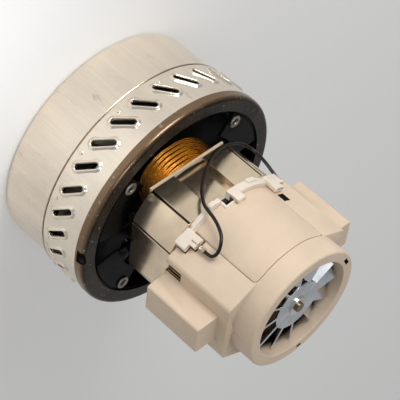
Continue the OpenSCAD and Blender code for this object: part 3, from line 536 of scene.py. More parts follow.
@dataclass(frozen=True)
class Laminated(Finish):
    """Edges of stacked sheet: fine lines square to the shaft, and painted shade in the weld grooves."""

    sheet: float = 0.5
    # Painted shade in the weld grooves
    groove_shade: Colour = (52, 42, 32)
    hollows: tuple[Hollow, ...] = ()

    def paint(self, s: Shading) -> None:
        """Sheet edges, heat tints and small marks.

        Args:
            s: Node tree to fill.
        """
        edges = s.lines((0, 0, 1 / (self.sheet * MM * WAVES)), 0.3)
        tint = s.noise((45, 45, 60), 3.0, 0.55)
        marks = s.noise((240, 240, 240), 4.0, 0.6)
        tone = s.over(linear(shade(self.tone, 0.92)), tint, 0.3, 0.7, 1.0, shade(self.tone, 1.05))
        tone = s.mixed(s.span(edges, 0.0, 0.25, 0.12, 0.0), tone, linear(shade(self.tone, 0.7)))
        tone = s.over(tone, marks, 0.66, 0.76, 0.35, shade(self.tone, 0.6))
        # Painted shade in the weld grooves
        tone = s.paint_shade_inside(tone, self.hollows, self.groove_shade)
        rough = s.uneven(marks, self.roughness, 0.03, 0.04)
        s.dress(Base_Color=tone, Metallic=0.95, Roughness=rough, Normal=s.bump(edges, 0.05, 0.02))


@dataclass(frozen=True)
class BlackPaint(Finish):
    """Black paint with an orange-peel skin and a little dust."""

    dust_and_shade: Colour = (56, 54, 51)
    gloss: float = 0.08

    def paint(self, s: Shading) -> None:
        """Peel and dust over black.

        Args:
            s: Node tree to fill.
        """
        peel = s.noise((700, 700, 700), 2.0, 0.5)
        dust_and_shade = s.noise((1400, 1400, 1400), 1.0, 0.5)
        wear = s.noise((70, 70, 70), 4.0, 0.6)
        tone = s.over(linear(self.tone), wear, 0.4, 0.75, 0.5, shade(self.tone, 1.9))
        tone = s.over(tone, dust_and_shade, 0.72, 0.8, 0.35, self.dust_and_shade)
        rough = s.uneven(wear, self.roughness, 0.06, 0.12)
        s.dress(Base_Color=tone, Roughness=rough, Specular_IOR_Level=self.gloss,
                Normal=s.bump(peel, 0.18, 0.06))


@dataclass(frozen=True)
class EnamelledWire(Finish):
    """Copper wire under clear enamel, darker in places."""

    burnt: Colour = (120, 52, 12)
    # Painted shade towards the ends of the coil, inside the given hollows
    end_shade: Colour = (62, 26, 8)
    fade: float = 0.75
    ends: tuple[Hollow, ...] = ()

    def paint(self, s: Shading) -> None:
        """Copper with burnt patches, painted shade towards the ends and a lacquer coat.

        Args:
            s: Node tree to fill.
        """
        patch = s.noise((120, 120, 160), 4.0, 0.6)
        grain = s.noise((900, 900, 900), 2.0, 0.5)
        tone = s.over(linear(self.tone), patch, 0.5, 0.8, 0.9, self.burnt)
        # Painted shade towards the ends of the coil
        tone = s.paint_shade_inside(tone, self.ends, self.end_shade, self.fade)
        rough = s.uneven(grain, self.roughness, 0.05, 0.1)
        s.dress(Base_Color=tone, Metallic=0.65, Roughness=rough, Coat_Weight=0.5, Coat_Roughness=0.12,
                Normal=s.bump(grain, 0.1, 0.03))


@dataclass(frozen=True)
class Moulding(Finish):
    """Moulded plastic with a faint mottle, a fine skin and small scuffs."""

    mottle: float = 0.06
    scuff: Colour = (150, 128, 104)
    gloss: float = 0.4
    # Painted shade: inside the housing near the shaft, below a given level, and in the hollows
    painted_shade: Colour = (14, 12, 11)
    shade_r: float = 33.2
    shade_r_fade: Pair = (-1.0, 0.4)
    shade_top: float = 160.2
    shade_top_fade: float = 3.0
    hollows: tuple[Hollow, ...] = ()

    def paint(self, s: Shading) -> None:
        """Mottle, skin and scuffs, with painted shade inside the shroud and in the hollows.

        Args:
            s: Node tree to fill.
        """
        flow = s.noise((32, 32, 32), 4.0, 0.55)
        skin = s.noise((1300, 1300, 1300), 2.0, 0.5)
        scuffs = s.noise((260, 260, 90), 5.0, 0.65)
        dark = linear(shade(self.tone, 1 - self.mottle))
        tone = s.over(dark, flow, 0.3, 0.7, 1.0, shade(self.tone, 1 + self.mottle / 2))
        tone = s.over(tone, scuffs, 0.68, 0.8, 0.22, self.scuff)
        # Painted shade inside the shroud behind the fan
        inner, outer = ((self.shade_r + fade) * MM for fade in self.shade_r_fade)
        near = s.span(s.radius(), inner, outer, FULL, 0.0)
        below = s.span(s.height(), (self.shade_top - self.shade_top_fade) * MM, self.shade_top * MM, 1.0, 0.0)
        tone = s.mixed(s.joined("MULTIPLY", near, below), tone, linear(self.painted_shade))
        tone = s.paint_shade_inside(tone, self.hollows, self.painted_shade)
        rough = s.uneven(skin, self.roughness, 0.06, 0.08)
        s.dress(Base_Color=tone, Roughness=rough, Specular_IOR_Level=self.gloss,
                Normal=s.bump(skin, 0.1, 0.05, s.bump(flow, 0.05, 0.5)))


@dataclass(frozen=True)
class Graphite(Finish):
    """Pressed carbon with a grey sheen and fine grains."""

    def paint(self, s: Shading) -> None:
        """Grains over near black.

        Args:
            s: Node tree to fill.
        """
        grain = s.noise((1100, 1100, 1100), 3.0, 0.6)
        tone = s.over(linear(self.tone), grain, 0.4, 0.7, 1.0, shade(self.tone, 1.7))
        rough = s.uneven(grain, self.roughness, 0.05, 0.1)
        s.dress(Base_Color=tone, Metallic=0.3, Roughness=rough, Normal=s.bump(grain, 0.25, 0.05))


@dataclass(frozen=True)
class WireSleeve(Finish):
    """Glossy extruded sleeve of a lead, with faint marks."""

    gloss: float = 0.3

    def paint(self, s: Shading) -> None:
        """Faint waves and marks on black.

        Args:
            s: Node tree to fill.
        """
        wave = s.noise((160, 160, 160), 3.0, 0.5)
        marks = s.noise((600, 600, 600), 4.0, 0.6)
        tone = s.over(linear(self.tone), marks, 0.55, 0.75, 1.0, shade(self.tone, 1.8))
        rough = s.uneven(wave, self.roughness, 0.05, 0.12)
        s.dress(Base_Color=tone, Roughness=rough, Specular_IOR_Level=self.gloss, Coat_Weight=0.12,
                Coat_Roughness=0.06, Normal=s.bump(wave, 0.06, 0.1))


RIM_R = 35.5  # Middle of the rim round the fan
RIM_TOP = 167.0
SLANT = 25.71  # Turn of a brush block's slanted side, in degrees
SLANT_START = (25.975, -29.359)  # Where the right block's slanted side starts


def around(radius: float, angle: float, z: float) -> Point:
    """Point at a radius, an angle in radians and a level."""
    return (radius * math.cos(angle), radius * math.sin(angle), z)


def on_rim(angle: float, half: Point, top: float) -> Hollow:
    """Hollow in the rim round the fan.

    Args:
        angle: Angle round the shaft, in degrees.
        half: Half its size along the radius, round the rim and down.
        top: Level of its upper end.

    Returns:
        The hollow.
    """
    return Hollow(around(RIM_R, math.radians(angle), top - half[2]), half, angle)


def by_terminal(side: int, along: Pair, out: Pair, height: Pair) -> Hollow:
    """Hollow on the slanted side of a brush block, where a terminal stands.

    Args:
        side: 1 for the right block, -1 for the left one.
        along: From and to along the slanted side.
        out: From and to square to it.
        height: From and to along the shaft.

    Returns:
        The hollow.
    """
    turn = math.radians(SLANT)
    u, v, z = (sum(span) / 2 for span in (along, out, height))
    centre = (side * (SLANT_START[0] + u * math.cos(turn) + v * math.sin(turn)),
              SLANT_START[1] + u * math.sin(turn) - v * math.cos(turn), z)
    half = tuple((span[1] - span[0]) / 2 for span in (along, out, height))
    return Hollow(centre, half, side * SLANT)


def both_sides(x: float, y: float, z: float, half: Point) -> tuple[Hollow, ...]:
    """A hollow on the right side and its mirror image on the left."""
    return tuple(Hollow((side * x, y, z), half) for side in (1, -1))


# The key slots in the rim: angle and half width
KEYS = ((95.4, 1.6), (-152.0, 3.2))
KEY_FILLS = tuple(on_rim(angle, (1.6, 1.6, 2.1), RIM_TOP) for angle, _ in KEYS)
KEY_SLOTS = tuple(on_rim(angle, (1.1, half, 2.2), RIM_TOP + 0.4) for angle, half in KEYS)
# Painted shade inside the key slots of the rim
KEY_SLOT_SHADE = tuple(on_rim(angle, (1.2, half + 0.1, 2.1), RIM_TOP - 0.05) for angle, half in KEYS)
# Painted shade in the gaps by the terminal, the windows and their strips, a pocket and the notch of the panel
TERMINAL_GAP_SHADE = tuple(by_terminal(1, along, (-0.35, 0.35), height)
                 for along, height in (((0.2, 8.1), (103.0, 114.8)), ((0.2, 12.5), (103.0, 111.1))))
WINDOW_SHADE = both_sides(43.0, -13.4, 110.2, (1.3, 3.25, 6.0))
# Painted shade on the flanks of the contact strips, which leaves their noses bright
STRIP_FLANK_SHADE = both_sides(42.8, -13.4, 110.2, (1.2, 3.3, 6.0))
POCKET_SHADE = by_terminal(-1, (2.1, 7.6), (-2.6, -0.08), (115.2, 121.2))
NOTCH_SHADE = (Hollow((4.4, -35.5, 104.4), (3.0, 1.4, 1.9)), Hollow((4.2, -34.6, 107.9), (4.2, 2.0, 2.2)))
SLIT = by_terminal(1, (4.6, 5.3), (2.0, 4.8), (109.8, 115.0))
# Painted shade over the ends of the field coils, fading in towards their middles
COIL_END_SHADE = both_sides(30.0, 0.0, 80.0, (17.0, 90.0, 160.0))
WELD_GROOVES = tuple(Hollow((i * x, j * y, 87.0), (0.6, 0.8, 20.0), i * j * turn)
                     for x, y, turn in ((27.3, 34.5, -19.2), (40.2, 17.9, -78.0))
                     for i in (1, -1) for j in (1, -1))
# Painted shade reaches a little past each weld groove
WELD_GROOVE_SHADE = tuple(groove.grown(0.04) for groove in WELD_GROOVES)

CAN_SHEET = DrawnSheet("can_sheet", (246, 233, 215), 0.24, 0.12)
BAND_SHEET = DrawnSheet("band_sheet", (248, 235, 218), 0.21, 0.06)
IMPELLER_SHEET = DrawnSheet("impeller_sheet", (206, 204, 200), 0.35, 0.4)
FAN_SHEET = PolishedSheet("fan_blade_sheet", (224, 228, 234), 0.2)
RING_STEEL = RolledSteel("rolled_ring", (56, 49, 42), 0.24)
BRIGHT_STEEL = TurnedMetal("turned_steel", (206, 202, 196), 0.22)
SHAFT_STEEL = TurnedMetal("shaft_steel", (150, 136, 108), 0.3)
EYELET_STEEL = TurnedMetal("eyelet_steel", (160, 156, 150), 0.3)
FERRULE_STEEL = PolishedSheet("ferrule_steel", (236, 234, 230), 0.12)
CRIMP_METAL = TurnedMetal("tinned_crimp", (250, 232, 206), 0.26)
STACK_EDGES = Laminated("stack_edges", (236, 216, 188), 0.17, hollows=WELD_GROOVE_SHADE)
BLACK_PAINT = BlackPaint("black_paint", (3, 3, 3), 0.36)
COPPER_WIRE = EnamelledWire("copper_wire", (255, 172, 40), 0.2, ends=COIL_END_SHADE)
ARMATURE_WIRE = EnamelledWire("armature_wire", (255, 172, 40), 0.22)
COPPER_BAR = TurnedMetal("copper_bar", (196, 118, 70), 0.3)
BRASS = TurnedMetal("turned_brass", (212, 178, 112), 0.3)
STRIP_BRASS = TurnedMetal("strip_brass", (226, 196, 132), 0.3, hollows=STRIP_FLANK_SHADE)
CREAM = Moulding("cream_moulding", (228, 206, 181), 0.42, 0.04,
                 hollows=(*KEY_SLOT_SHADE, *TERMINAL_GAP_SHADE, *WINDOW_SHADE, *NOTCH_SHADE, POCKET_SHADE))
WHITE = Moulding("white_moulding", (238, 226, 210), 0.4, 0.03, (190, 176, 156), hollows=NOTCH_SHADE)
INSULATOR = Moulding("insulator_board", (226, 208, 180), 0.55, 0.08, (160, 130, 96), 0.3)
PHENOLIC = Moulding("phenolic", (92, 58, 38), 0.4, 0.12, (60, 36, 24))
CARBON = Graphite("pressed_carbon", (44, 44, 46), 0.5)
LEAD_SLEEVE = WireSleeve("lead_sleeve", (24, 17, 11), 0.2)


def link(obj: Object) -> Object:
    """Puts an object into the scene and returns it."""
    bpy.context.scene.collection.objects.link(obj)
    return obj


def smooth(mesh: Mesh, angle: float) -> None:
    """Shades a mesh smooth.

    Args:
        mesh: Mesh to shade.
        angle: Edges above this angle stay sharp, in degrees.
    """
    for polygon in mesh.polygons:
        polygon.use_smooth = True
    mesh.set_sharp_from_angle(angle=math.radians(angle))


@dataclass(frozen=True)
class Role:
    """What a new piece is to the frame: its body, its finish and the nodes that it stands for."""

    body: Body
    finish: Finish
    slot: Slot
    stands_for: tuple[str, ...] = ()

    def cast(self, obj: Object) -> Object:
        """Gives a piece its material and body, and hides the nodes that it stands for.

        Args:
            obj: Piece in its place.

        Returns:
            The same piece.
        """
        obj.data.materials.clear()
        obj.data.materials.append(self.finish.material())
        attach(obj, self.body.value)
        if self.stands_for:
            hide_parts(*self.stands_for)
        LOG.info("piece %s rides on %s", obj.name, self.body.value)
        return obj


class MeshMaker:
    """Collects points and faces in millimetres and makes one mesh of them."""

    def __init__(self) -> None:
        """Starts with nothing."""
        self.points: list[Point] = []
        self.faces: list[tuple[int, ...]] = []

    def rings(self, rings: Sequence[Sequence[Point]], closed: bool = False) -> None:
        """Joins rings of points into a skin.

        Args:
            rings: Rings with the same number of points each.
            closed: Whether the last ring joins the first; otherwise both ends are capped.
        """
        base, sides, count = len(self.points), len(rings[0]), len(rings)
        for ring in rings:
            self.points.extend(ring)
        for i in range(count if closed else count - 1):
            for k in range(sides):
                a, b = base + i * sides + k, base + i * sides + (k + 1) % sides
                c, d = base + (i + 1) % count * sides + k, base + (i + 1) % count * sides + (k + 1) % sides
                self.faces.append((a, c, d, b))
        if not closed:
            self.faces.append(tuple(base + k for k in range(sides)))
            self.faces.append(tuple(base + (count - 1) * sides + k for k in reversed(range(sides))))

    def tube(self, path: Sequence[Vector], radius: float, sides: int) -> None:
        """Lays a round tube along a path, with its sides counted from the shaft outwards.

        Args:
            path: Points of the centre line.
            radius: Radius of the tube.
            sides: Sides of the tube.
        """
        rings = []
        for i, point in enumerate(path):
            along = (path[min(i + 1, len(path) - 1)] - path[max(i - 1, 0)]).normalized()
            out = Vector((point.x, point.y, 0))
            out = (out - out.dot(along) * along).normalized()
            side = along.cross(out)
            rings.append([tuple(point + radius * (math.cos(a) * out + math.sin(a) * side))
                          for a in (math.tau * k / sides for k in range(sides))])
        self.rings(rings)

    def lathe(self, outline: Loop, segments: int, centre: Point = (0, 0, 0)) -> None:
        """Turns a closed outline round an axis parallel to the shaft.

        Args:
            outline: Radius and height of each corner.
            segments: Steps round the axis.
            centre: Point on the axis.
        """
        x, y, base = centre
        turns = [math.tau * i / segments for i in range(segments)]
        rings = [[(x + r * math.cos(a), y + r * math.sin(a), base + z) for r, z in outline] for a in turns]
        self.rings(rings, closed=True)

    def piece(self, name: str, role: Role, angle: float = 35.0) -> Object:
        """Makes the piece.

        Args:
            name: Name of the piece.
            role: What it is to the frame.
            angle: Edges above this angle stay sharp, in degrees.

        Returns:
            The finished piece.
        """
        mesh = self.mesh(name)
        smooth(mesh, angle)
        return role.cast(link(bpy.data.objects.new(name, mesh)))

    def mesh(self, name: str) -> Mesh:
        """The collected skin, with its faces turned outwards.

        Args:
            name: Name of the mesh.

        Returns:
            The mesh, in metres.
        """
        mesh = bpy.data.meshes.new(name)
        mesh.from_pydata([tuple(value * MM for value in point) for point in self.points], [], self.faces)
        work = bmesh.new()
        work.from_mesh(mesh)
        bmesh.ops.recalc_face_normals(work, faces=work.faces)
        work.to_mesh(mesh)
        work.free()
        return mesh


@dataclass(frozen=True)
class BoxCut:
    """Boxes that are cut out of a mesh, or filled in."""

    hollows: tuple[Hollow, ...]
    fills: bool = False

    def shape(self, mesh: Mesh) -> Mesh:
        """Cuts or fills the boxes in a copy of a mesh.

        Args:
            mesh: Mesh in metres.

        Returns:
            The new mesh.
        """
        maker = MeshMaker()
        for hollow in self.hollows:
            maker.rings(hollow.corners())
        host = link(bpy.data.objects.new("host", mesh.copy()))
        boxes = link(bpy.data.objects.new("boxes", maker.mesh("boxes")))
        change = host.modifiers.new("boxes", "BOOLEAN")
        change.operation = "UNION" if self.fills else "DIFFERENCE"
        change.solver, change.object = "EXACT", boxes
        result = bpy.data.meshes.new_from_object(host.evaluated_get(bpy.context.evaluated_depsgraph_get()))
        bpy.data.objects.remove(host)
        bpy.data.objects.remove(boxes)
        return result


@dataclass
class Frame:
    """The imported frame, with what dresses its nodes."""

    nodes: dict[str, Object]

    def dress(self, finish: Finish, *names: str) -> None:
        """Gives CAD nodes a finish.

        Args:
            finish: Finish for all of them.
            names: Nodes.
        """
        for name in names:
            materials = self.nodes[name].data.materials
            materials.clear()
            materials.append(finish.material())
            LOG.info("node %s takes %s", name, finish.name)

    def eased(self, node: str, role: Role, *steps: "BoxCut | EdgeEaser") -> Object:
        """Stands a copy with eased edges in a node's place.

        Args:
            node: CAD node to copy.
            role: What the piece is to the frame.
            steps: What is done to the copy, in order.

        Returns:
            The piece.
        """
        mesh = self.nodes[node].data
        for step in steps:
            mesh = step.shape(mesh)
        piece = link(bpy.data.objects.new(f"{node}_eased", mesh))
        piece.modifiers.new("flat_faces", "WEIGHTED_NORMAL").keep_sharp = True
        return Role(role.body, role.finish, role.slot, (node,)).cast(piece)


@dataclass
class EdgeEaser:
    """Rounds the outer edges of a mesh, apart from those that have no room for it."""

    width: float
    segments: int = 2
    core_r: float = 0.0
    upright: bool = False
    corner: float = 30.0
    fold: float = 140.0
    crease: float = 40.0
    flatness: float = 0.5
    plumb: float = 0.001
    reach: float = 2.0
    tries: int = 6
    weld: float = 2e-6
    speck: float = 5e-7

    def flat(self, mesh: Mesh) -> BMesh:
        """Copies a mesh and joins its flat faces.

        Args:
            mesh: Mesh of a CAD node.

        Returns:
            The copy.
        """
        work = bmesh.new()
        work.from_mesh(mesh)
        bmesh.ops.remove_doubles(work, verts=work.verts, dist=self.weld)
        bmesh.ops.dissolve_limit(work, angle_limit=math.radians(self.flatness), verts=work.verts,
                                 edges=work.edges)
        bmesh.ops.connect_verts_concave(work, faces=work.faces[:])
        work.edges.index_update()
        return work

    def folds(self, work: BMesh) -> list[Vector]:
        """Finds where faces fold back on each other.

        Args:
            work: Mesh of triangles.

        Returns:
            Middles of the folded edges.
        """
        return [(edge.verts[0].co + edge.verts[1].co) / 2 for edge in work.edges
                if len(edge.link_faces) == 2 and edge.calc_face_angle() > math.radians(self.fold)]

    def sharp(self, work: BMesh, spared: set[int]) -> list[bmesh.types.BMEdge]:
        """Finds the outer edges to round.

        Args:
            work: Mesh with its flat faces joined.
            spared: Edges that stay as they are.

        Returns:
            The edges.
        """
        return [edge for edge in work.edges
                if edge.index not in spared and len(edge.link_faces) == 2 and edge.is_convex
                and edge.calc_face_angle() > math.radians(self.corner)
                and (edge.verts[0].co + edge.verts[1].co).xy.length / 2 > self.core_r * MM
                and not (self.upright and (edge.verts[0].co - edge.verts[1].co).xy.length > self.plumb * MM)]

    def crowded(self, lines: dict[int, tuple[Vector, Vector]], folds: list[Vector]) -> set[int]:
        """Finds the edges that lie beside a fold.

        Args:
            lines: Ends of each edge.
            folds: Places of the folds.

        Returns:
            The edges.
        """
        tree = KDTree(len(folds))
        for i, place in enumerate(folds):
            tree.insert(place, i)
        tree.balance()
        step = self.width * MM
        found = set()
        for index, (start, end) in lines.items():
            count = max(1, int((end - start).length / step))
            if any(tree.find(start.lerp(end, k / count))[2] < self.reach * step for k in range(count + 1)):
                found.add(index)
        return found

    def clean(self, work: BMesh) -> None:
        """Takes out faces without an area and small flaps with a free edge.

        Args:
            work: Mesh with its edges rounded.
        """
        bmesh.ops.remove_doubles(work, verts=work.verts, dist=self.weld)
        bmesh.ops.dissolve_degenerate(work, dist=self.weld, edges=work.edges)
        bmesh.ops.triangulate(work, faces=work.faces[:])
        bmesh.ops.dissolve_degenerate(work, dist=self.weld, edges=work.edges)
        for _ in range(self.tries):
            flaps = [face for face in work.faces if face.calc_area() < self.speck
                     and any(len(edge.link_faces) == 1 for edge in face.edges)]
            bmesh.ops.delete(work, geom=flaps, context="FACES")

    def shape(self, mesh: Mesh) -> Mesh:
        """Rounds the edges of a copy, again without the crowded ones until nothing folds.

        Args:
            mesh: Mesh of a CAD node.

        Returns:
            The new mesh.
        """
        plain = self.flat(mesh)
        bmesh.ops.triangulate(plain, faces=plain.faces[:])
        given = self.folds(plain)
        plain.free()
        spared: set[int] = set()
        for _ in range(self.tries):
            work = self.flat(mesh)
            edges = self.sharp(work, spared)
            lines = {edge.index: tuple(vert.co.copy() for vert in edge.verts) for edge in edges}
            bmesh.ops.bevel(work, geom=edges, offset=self.width * MM, segments=self.segments, profile=0.5,
                            affect="EDGES", clamp_overlap=False)
            bmesh.ops.recalc_face_normals(work, faces=work.faces)
            bmesh.ops.triangulate(work, faces=[face for face in work.faces if len(face.verts) > 4])
            folds = [place for place in self.folds(work) if all((place - old).length > MM for old in given)]
            if not folds:
                break
            spared |= self.crowded(lines, folds)
        self.clean(work)
        work.verts.index_update()
        for group in (work.edges, work.faces):  # Put in a fixed order, so that each run gives the same mesh
            order = sorted(group, key=lambda item: sorted(vert.index for vert in item.verts))
            rank = {item: place for place, item in enumerate(order)}
            group.sort(key=rank.get)
        eased = bpy.data.meshes.new("eased")
        work.to_mesh(eased)
        work.free()
        smooth(eased, self.crease)
        return eased


@dataclass(frozen=True)
class Lamp:
    """One soft box: where it hangs, where it aims, its size, its power in watts and its spread in degrees."""

    name: str
    place: Point
    aim: Point
    size: float
    power: float
    spread: float = 180.0

    def hang(self) -> None:
        """Puts the lamp into the scene."""
        data = bpy.data.lights.new(self.name, "AREA")
        data.shape = "RECTANGLE"
        data.size = data.size_y = self.size * MM
        data.energy = self.power
        data.spread = math.radians(self.spread)
        lamp = link(bpy.data.objects.new(self.name, data))
        lamp.location = Vector(self.place) * MM
        lamp.rotation_mode = "QUATERNION"
        lamp.rotation_quaternion = (Vector(self.aim) - Vector(self.place)).to_track_quat("-Z", "Y")


@dataclass
class Studio:
    """Camera, floor and soft light."""

    camera_place: Point = (498.319, -773.259, 511.868)
    right: Point = (-0.720584, -0.085886, 0.688027)
    down: Point = (0.482968, 0.649806, 0.586937)
    ahead: Point = (-0.497494, 0.755233, -0.426759)
    focal: float = 1810.3
    picture: int = 400
    sensor: float = 36.0
    clip: Pair = (0.01, 50.0)
    floor_half: float = 6000.0
    floor_tone: Colour = (244, 244, 243)
    glow: float = 0.95
    glow_share: float = 0.15
    world_light: float = 0.4
    lamps: tuple[Lamp, ...] = (
        Lamp("key_light", (-110, -880, 330), (0, 0, 80), 420, 4.4),
        Lamp("floor_light", (240, -250, 380), (108, -124, 0), 110, 0.058, 43.0),
        Lamp("top_light", (0, 0, 1300), (0, 0, 80), 500, 0.7),
    )

    def camera(self) -> None:
        """Makes the camera at the photograph's place and roll."""
        data = bpy.data.cameras.new("camera")
        data.sensor_width = self.sensor
        data.lens = self.focal / self.picture * self.sensor
        data.clip_start, data.clip_end = self.clip
        camera = link(bpy.data.objects.new("camera", data))
        turn = Matrix([self.right, [-v for v in self.down], [-v for v in self.ahead]]).transposed()
        camera.matrix_world = Matrix.Translation(Vector(self.camera_place) * MM) @ turn.to_4x4()
        bpy.context.scene.camera = camera

    def floor(self) -> None:
        """Makes the pale floor, which glows a little to the camera and mirrors and keeps the shadow."""
        half = self.floor_half * MM
        mesh = bpy.data.meshes.new("floor")
        corners = [(-half, -half, 0), (half, -half, 0), (half, half, 0), (-half, half, 0)]
        mesh.from_pydata(corners, [], [(0, 1, 2, 3)])
        material = bpy.data.materials.new("floor")
        material.use_nodes = True
        tree = material.node_tree
        tree.nodes.clear()
        matt = tree.nodes.new("ShaderNodeBsdfDiffuse")
        matt.inputs["Color"].default_value = linear(self.floor_tone)
        glow = tree.nodes.new("ShaderNodeEmission")
        glow.inputs["Strength"].default_value = self.glow
        mix = tree.nodes.new("ShaderNodeMixShader")
        share = tree.nodes.new("ShaderNodeMath")
        share.operation = "MULTIPLY"
        share.inputs[1].default_value = self.glow_share
        tree.links.new(self.seen(tree), share.inputs[0])
        tree.links.new(share.outputs[0], mix.inputs[0])
        tree.links.new(matt.outputs[0], mix.inputs[1])
        tree.links.new(glow.outputs[0], mix.inputs[2])
        output = tree.nodes.new("ShaderNodeOutputMaterial")
        tree.links.new(mix.outputs[0], output.inputs["Surface"])
        mesh.materials.append(material)
        link(bpy.data.objects.new("floor", mesh))

    @staticmethod
    def seen(tree: bpy.types.NodeTree) -> Socket:
        """One for rays that the camera, a mirror or glass sends, and nothing for light.

        Args:
            tree: Tree that the nodes go into.

        Returns:
            The value.
        """
        path = tree.nodes.new("ShaderNodeLightPath")
        value = path.outputs["Is Camera Ray"]
        for name in ("Is Glossy Ray", "Is Transmission Ray"):
            node = tree.nodes.new("ShaderNodeMath")
            node.operation = "MAXIMUM"
            tree.links.new(value, node.inputs[0])
            tree.links.new(path.outputs[name], node.inputs[1])
            value = node.outputs[0]
        return value

    def world(self) -> None:
        """Makes an even pale surrounding."""
        world = bpy.data.worlds.new("studio")
        bpy.context.scene.world = world
        world.use_nodes = True
        tree = world.node_tree
        tree.nodes.clear()
        light = tree.nodes.new("ShaderNodeBackground")
        light.inputs["Color"].default_value = (1, 1, 1, 1)
        light.inputs["Strength"].default_value = self.world_light
        output = tree.nodes.new("ShaderNodeOutputWorld")
        tree.links.new(light.outputs[0], output.inputs["Surface"])

    def build(self) -> None:
        """Sets up the studio."""
        self.camera()
        self.floor()
        self.world()
        for lamp in self.lamps:
            lamp.hang()
        bpy.context.scene.view_settings.view_transform = "Standard"


@dataclass
class Lead:
    """Black lead from the terminal to the left brush block."""

    route: tuple[Point, ...] = (
        (31.4, -29.4, 119.5), (31.4, -29.4, 121.5), (31.2, -30.2, 124.6), (29.4, -33.0, 126.4),
        (26.4, -36.4, 125.4), (23.0, -38.8, 122.0), (20.6, -40.2, 117.0), (19.0, -41.2, 111.5),
        (18.2, -41.7, 106.5), (17.0, -41.8, 102.4), (14.0, -41.8, 97.8), (9.8, -42.0, 93.0),
        (4.8, -42.7, 89.0), (-1.6, -43.4, 84.8), (-9.2, -43.0, 81.0), (-16.4, -41.8, 78.8),
        (-23.0, -39.8, 77.6), (-29.0, -37.4, 77.6), (-35.0, -33.6, 78.4), (-39.4, -30.0, 81.0),
        (-41.6, -27.4, 86.0), (-43.0, -23.8, 92.0), (-43.2, -21.0, 97.6), (-42.8, -19.8, 101.5),
        (-42.8, -19.8, 104.48),
    )
    diameter: float = 2.0
    sides: int = 16
    steps: int = 6
    spade_turn: float = 25.7
    crimp_sides: int = 32
    groove_at: float = -90.0
    groove_width: float = 0.35
    # Level, half width, half thickness, squareness and depth of the groove of each ring
    crimp: tuple[tuple[float, float, float, float, float], ...] = (
        (106.05, 1.55, 0.3, 0.3, 0.0), (106.5, 1.8, 0.4, 0.3, 0.0), (113.4, 1.8, 0.4, 0.3, 0.0),
        (114.5, 1.3, 0.45, 0.4, 0.0), (115.1, 0.9, 0.6, 0.6, 0.0), (115.5, 1.25, 1.1, 0.9, 0.05),
        (115.8, 1.5, 1.45, 1.0, 0.2), (116.1, 1.3, 1.25, 1.0, 0.35), (117.3, 1.2, 1.15, 1.0, 0.4),
        (117.6, 1.35, 1.3, 1.0, 0.3), (117.85, 1.1, 1.1, 1.0, 0.1), (118.1, 1.1, 1.1, 1.0, 0.1),
        (118.3, 1.55, 1.5, 1.0, 0.25), (119.2, 1.5, 1.5, 1.0, 0.35), (119.5, 1.6, 1.6, 1.0, 0.25),
    )

    def terminal(self) -> Object:
        """Makes the spade with its folded crimp.

        Returns:
            The piece.
        """
        x, y, _ = self.route[0]
        turn = math.radians(self.spade_turn)
        rings = []
        for z, wide, thick, square, groove in self.crimp:
            ring = []
            for k in range(self.crimp_sides):
                a = math.tau * k / self.crimp_sides
                away = math.remainder(a - math.radians(self.groove_at), math.tau)
                size = 1 - groove * math.exp(-((away / self.groove_width) ** 2))
                u = size * wide * math.copysign(abs(math.cos(a)) ** square, math.cos(a))
                v = size * thick * math.copysign(abs(math.sin(a)) ** square, math.sin(a))
                ring.append((x + u * math.cos(turn) - v * math.sin(turn),
                             y + u * math.sin(turn) + v * math.cos(turn), z))
            rings.append(ring)
        maker = MeshMaker()
        maker.rings(rings)
        role = Role(Body.FRAME, CRIMP_METAL, Slot.BRASS, ("lead_terminal",))
        return maker.piece("lead_crimp", role, angle=50.0)

    def line(self) -> list[Vector]:
        """A smooth line through the route's points.

        Returns:
            Points of the line.
        """
        points = [Vector(p) for p in self.route]
        ends = [2 * points[0] - points[1], *points, 2 * points[-1] - points[-2]]
        line = []
        for i in range(len(points) - 1):
            p0, p1, p2, p3 = ends[i:i + 4]
            for k in range(self.steps):
                t = k / self.steps
                line.append(0.5 * (2 * p1 + (p2 - p0) * t + (2 * p0 - 5 * p1 + 4 * p2 - p3) * t ** 2
                                   + (3 * p1 - p0 - 3 * p2 + p3) * t ** 3))
        return [*line, points[-1]]

    def build(self) -> None:
        line = self.line()
        maker = MeshMaker()
        maker.tube(line, self.diameter / 2, self.sides)
        piece = maker.piece("lead", Role(Body.FRAME, LEAD_SLEEVE, Slot.LEAD, ("lead_wire",)))
        self.terminal()


